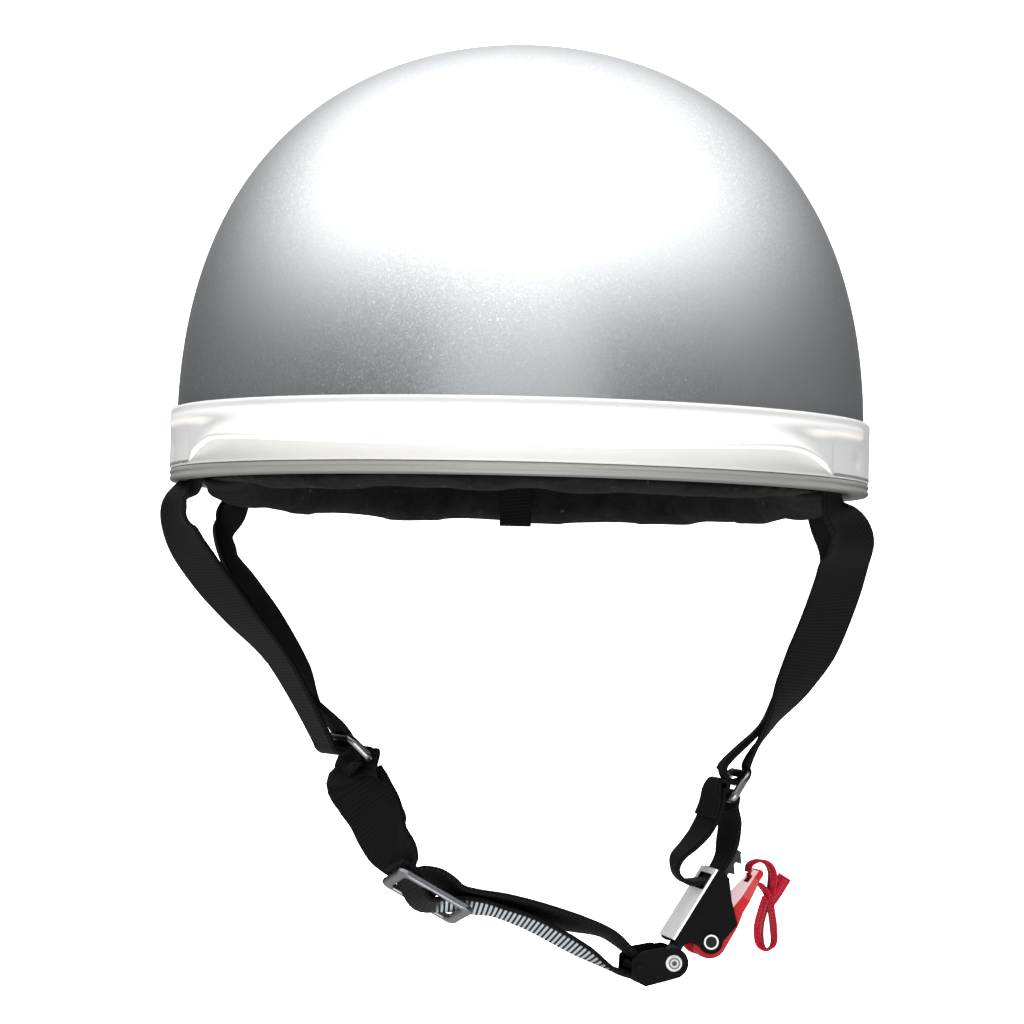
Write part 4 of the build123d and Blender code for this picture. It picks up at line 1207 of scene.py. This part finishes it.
def slider_mesh():
    """Three bar slider: a rounded closed frame with a bar across its middle."""
    points = []
    end, side = 1.6, 1.2
    frame_loop = rounded_loop(26.0 / 2 - end, 24.6 / 2 - side, 2.4)
    for along, aside, (ax, ay) in frame_loop:
        half = end * abs(ax) + side * abs(ay)
        for out, up in cut_bar(1, 0.55, 0.6):
            points.append((along + ax * out * half, aside + ay * out * half, up * 1.1))
    faces = grid_faces(len(frame_loop), 8, wrap_rows=True, wrap_columns=True)
    base = len(points)
    for aside in (-11.6, -8, 8, 11.6):
        points += [(out, aside, up) for out, up in cut_bar(1.3, 0.5, 0.8)]
    faces += [tuple(base + k for k in face) for face in grid_faces(4, 8, wrap_columns=True)]
    faces += end_faces(4, 8, base)
    c, s = cos(radians(SLIDER_ANGLE)), sin(radians(SLIDER_ANGLE))
    run = Vector((c * cos(radians(CHIN_TURN)), c * sin(radians(CHIN_TURN)), s))
    across = Vector((-sin(radians(CHIN_TURN)), cos(radians(CHIN_TURN)), 0))
    across.rotate(Quaternion(run, -radians(SLIDER_ROLL)))
    normal = run.cross(across)
    centre = Vector(chin_point(*SLIDER_CENTRE))
    placed = [centre + run * x + across * y + normal * z for x, y, z in points]
    return tidy_mesh(mesh_object("slider_frame", placed, faces, material("gunmetal")))


NODE_MATERIALS = {
    "impact_liner": "foam", "strap_anchor_plates": "steel", "strap_anchor_rivets": "steel",
    "left_ring": "wire", "right_ring": "wire",
    "buckle_housing": "black_metal", "buckle_back_plate": "bright", "lever_pin": "pin",
    "lever_spring": "steel", "release_lever": "red", "toothed_tongue": "black_plastic",
    "tongue_rivet": "rivet", "rivet_washers": "rivet", "rivet_spacers": "black_metal",
    "strap_end_bracket": "black_metal", "bracket_bar": "black_metal",
}


class HELMET_OT_hardware(bpy.types.Operator):
    """Give the metal and plastic parts their materials and soft edges"""

    bl_idname = "helmet.hardware"
    bl_label = "Hardware"

    def execute(self, context):
        for node, name in NODE_MATERIALS.items():
            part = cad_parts[node]
            coat(part, name)
            if node != "impact_liner":
                shade_smooth(part.data)
                soften_edges(part, 0.00018, 40)
        slider = slider_mesh()
        soften_edges(slider, 0.0003, 30)
        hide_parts("length_slider")
        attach(slider, "slider")
        return {"FINISHED"}


class HELMET_OT_ribbon(bpy.types.Operator):
    """Build the crimson pull ribbon"""

    bl_idname = "helmet.ribbon"
    bl_label = "Pull ribbon"

    def execute(self, context):
        tip = buckle_place(*TIP_BAR)

        def at(dx, dz, turn):
            return (*chin_point(tip[0] + dx, tip[1] + dz), turn)

        over = [at(-2.5, 0.3, -24), at(-2.0, 2.6, -28), at(0.8, 3.9, -30), at(3.6, 3.0, -32),
                at(5.1, 0.4, -36), at(5.1, -3.2, -38), at(4.6, -7.3, -34)]
        second = [at(-2.4, 0.0, -CHIN_TURN), at(-1.2, -2.6, -24), at(1.2, -3.4, -28), at(3.6, -6.1, -34),
                  at(4.4, -8.0, -34)]
        loop = [at(3.6, -7.2, 40), at(2.4, -11.4, 46), at(1.3, -16.3, 46), at(1.8, -21.5, 40),
                at(4.0, -23.4, 10), at(5.9, -21.7, -22), at(5.8, -16.2, -30), at(5.0, -11.0, -28),
                at(4.6, -7.4, -20)]
        tail = [at(4.2, -9.0, 66), at(5.9, -6.4, 76), at(9.2, -0.9, 84)]
        for name, route, width in (
            ("ribbon_over", over, 4.4), ("ribbon_under", second, 4.2),
            ("ribbon_loop", loop, 4.2), ("ribbon_tail", tail, 4.4),
        ):
            piece = webbing_piece(name, route, material("ribbon"), width=width, thickness=0.9, steps=8)
            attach(piece, "ribbon")
            if name == "ribbon_loop":
                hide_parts("pull_ribbon")
        return {"FINISHED"}


class HELMET_OT_stage(bpy.types.Operator):
    """Set the floor, backdrop, lights and camera"""

    bl_idname = "helmet.stage"
    bl_label = "Stage"

    def execute(self, context):
        backdrop()
        area_light("front_fill", (0.1, -2.4, 0.15), (0, 0, 0.02), 3.0, 14.0)
        area_light("low_fill", (0, -1.0, -0.9), (0, 0, 0), 1.2, 12)
        bpy.context.scene.world = studio_world()
        bpy.context.scene.view_settings.view_transform = "Standard"
        camera_at_photo()
        return {"FINISHED"}


def studio_world():
    """Soft studio surround: bright overhead and below, dark towards the horizon."""
    world = bpy.data.worlds.new("studio")
    world.use_nodes = True
    tree = world.node_tree
    background = tree.nodes["Background"]
    split = tree.nodes.new("ShaderNodeSeparateXYZ")
    tree.links.new(tree.nodes.new("ShaderNodeTexCoord").outputs["Generated"], split.inputs[0])

    def share(axis):
        return maths(tree, "ADD", maths(tree, "MULTIPLY", split.outputs[axis], 0.5), 0.5)

    stops = (
        (-1.0, 1.3), (-0.4, 1.1), (-0.15, 0.12), (0.06, 0.03), (0.18, 0.12), (0.3, 0.42),
        (0.42, 1.1), (0.52, 1.9), (0.65, 2.9), (1.0, 3.9),
    )
    tone = ramp(tree, share("Z"), [((height + 1) / 2, value / 4) for height, value in stops])
    tree.links.new(tone, background.inputs["Color"])
    rear = ramp(tree, share("Y"), ((0.6, 1.0), (0.95, 0.5)))
    right = ramp(tree, share("X"), ((0.5, 1.0), (0.9, 0.88)))
    strength = maths(tree, "MULTIPLY", maths(tree, "MULTIPLY", rear, right), 4.0)
    tree.links.new(strength, background.inputs["Strength"])
    return world


def backdrop():
    """Pale floor that sweeps up behind the helmet."""
    rows = []
    for step in range(25):
        angle = radians(90 * step / 24)
        rows.append((1600 + 700 * sin(angle), -420 + 700 * (1 - cos(angle))))
    profile = [(-3500, -420)] + rows + [(2300, 3200)]
    points = []
    for y, z in profile:
        points += [(-4200, y, z), (4200, y, z)]
    surface, tree, shader = new_material("backdrop")
    grain = noise_of(tree, coordinates(tree), 40, 3)
    base = colours().backdrop
    tone = ramp(tree, grain, ((0.3, scaled(base, 0.99)), (0.7, base[:])))
    tree.links.new(tone, shader.inputs["Base Color"])
    shader.inputs["Roughness"].default_value = 0.9
    shader.inputs["Emission Color"].default_value = (1, 1, 1, 1)
    shader.inputs["Emission Strength"].default_value = 0.9
    sweep = mesh_object("backdrop_sweep", points, grid_faces(len(profile), 2), surface)
    sweep.visible_glossy = False
    sweep.visible_diffuse = False
    sweep.visible_shadow = False


def area_light(name, place, target, size, power):
    data = bpy.data.lights.new(name, "AREA")
    data.shape = "DISK"
    data.size = size
    data.energy = power
    lamp = bpy.data.objects.new(name, data)
    lamp.location = place
    lamp.rotation_euler = (Vector(target) - Vector(place)).to_track_quat("-Z", "Y").to_euler()
    bpy.context.scene.collection.objects.link(lamp)


def camera_at_photo():
    """Camera a little below the rim and to the right, as the photograph was taken."""
    distance, yaw, roll = 1.3, radians(3.0), radians(1.3)
    # Focal length, picture width and sideways shift in pixels
    focal, picture, shift = 4180, 1024, -7
    place = Vector((distance * sin(yaw) / cos(yaw), -distance, -0.045))
    target = Vector((0, 0, -0.0067))
    data = bpy.data.cameras.new("photo_camera")
    data.sensor_width = 36
    data.lens = focal / picture * data.sensor_width
    data.shift_x = shift / picture
    camera = bpy.data.objects.new("photo_camera", data)
    bpy.context.scene.collection.objects.link(camera)
    forward = (target - place).normalized()
    right = forward.cross(Vector((0, 0, 1))).normalized()
    up = right.cross(forward)
    right, up = right * cos(roll) + up * sin(roll), up * cos(roll) - right * sin(roll)
    matrix = camera.matrix_world.to_3x3()
    for row in range(3):
        matrix[row][0], matrix[row][1], matrix[row][2] = right[row], up[row], -forward[row]
    camera.matrix_world = matrix.to_4x4()
    camera.location = place
    bpy.context.scene.camera = camera


OPERATORS = (
    HELMET_OT_materials, HELMET_OT_shell, HELMET_OT_band, HELMET_OT_trim, HELMET_OT_headband,
    HELMET_OT_linings, HELMET_OT_ear_straps, HELMET_OT_chin_strap, HELMET_OT_hardware,
    HELMET_OT_ribbon, HELMET_OT_stage,
)


class HELMET_PT_panel(bpy.types.Panel):
    """Helmet settings and steps"""

    bl_idname = "HELMET_PT_panel"
    bl_label = "Half Shell Helmet"
    bl_space_type = "VIEW_3D"
    bl_region_type = "UI"
    bl_category = "Helmet"

    def draw(self, context):
        layout = self.layout
        for group in (context.scene.helmet_shape, context.scene.helmet_colours):
            box = layout.box()
            for name in group.__annotations__:
                box.prop(group, name)
        for operator in OPERATORS:
            layout.operator(operator.bl_idname)


CLASSES = (HelmetShape, HelmetColours, *OPERATORS, HELMET_PT_panel)


def register():
    for item in CLASSES:
        bpy.utils.register_class(item)
    bpy.types.Scene.helmet_shape = bpy.props.PointerProperty(type=HelmetShape)
    bpy.types.Scene.helmet_colours = bpy.props.PointerProperty(type=HelmetColours)


def unregister():
    del bpy.types.Scene.helmet_colours
    del bpy.types.Scene.helmet_shape
    for item in reversed(CLASSES):
        bpy.utils.unregister_class(item)


def main():
    register()
    for operator in OPERATORS:
        space, name = operator.bl_idname.split(".")
        if getattr(getattr(bpy.ops, space), name)() != {"FINISHED"}:
            raise RuntimeError(operator.bl_label + " did not finish")


if __name__ == "__main__":
    main()
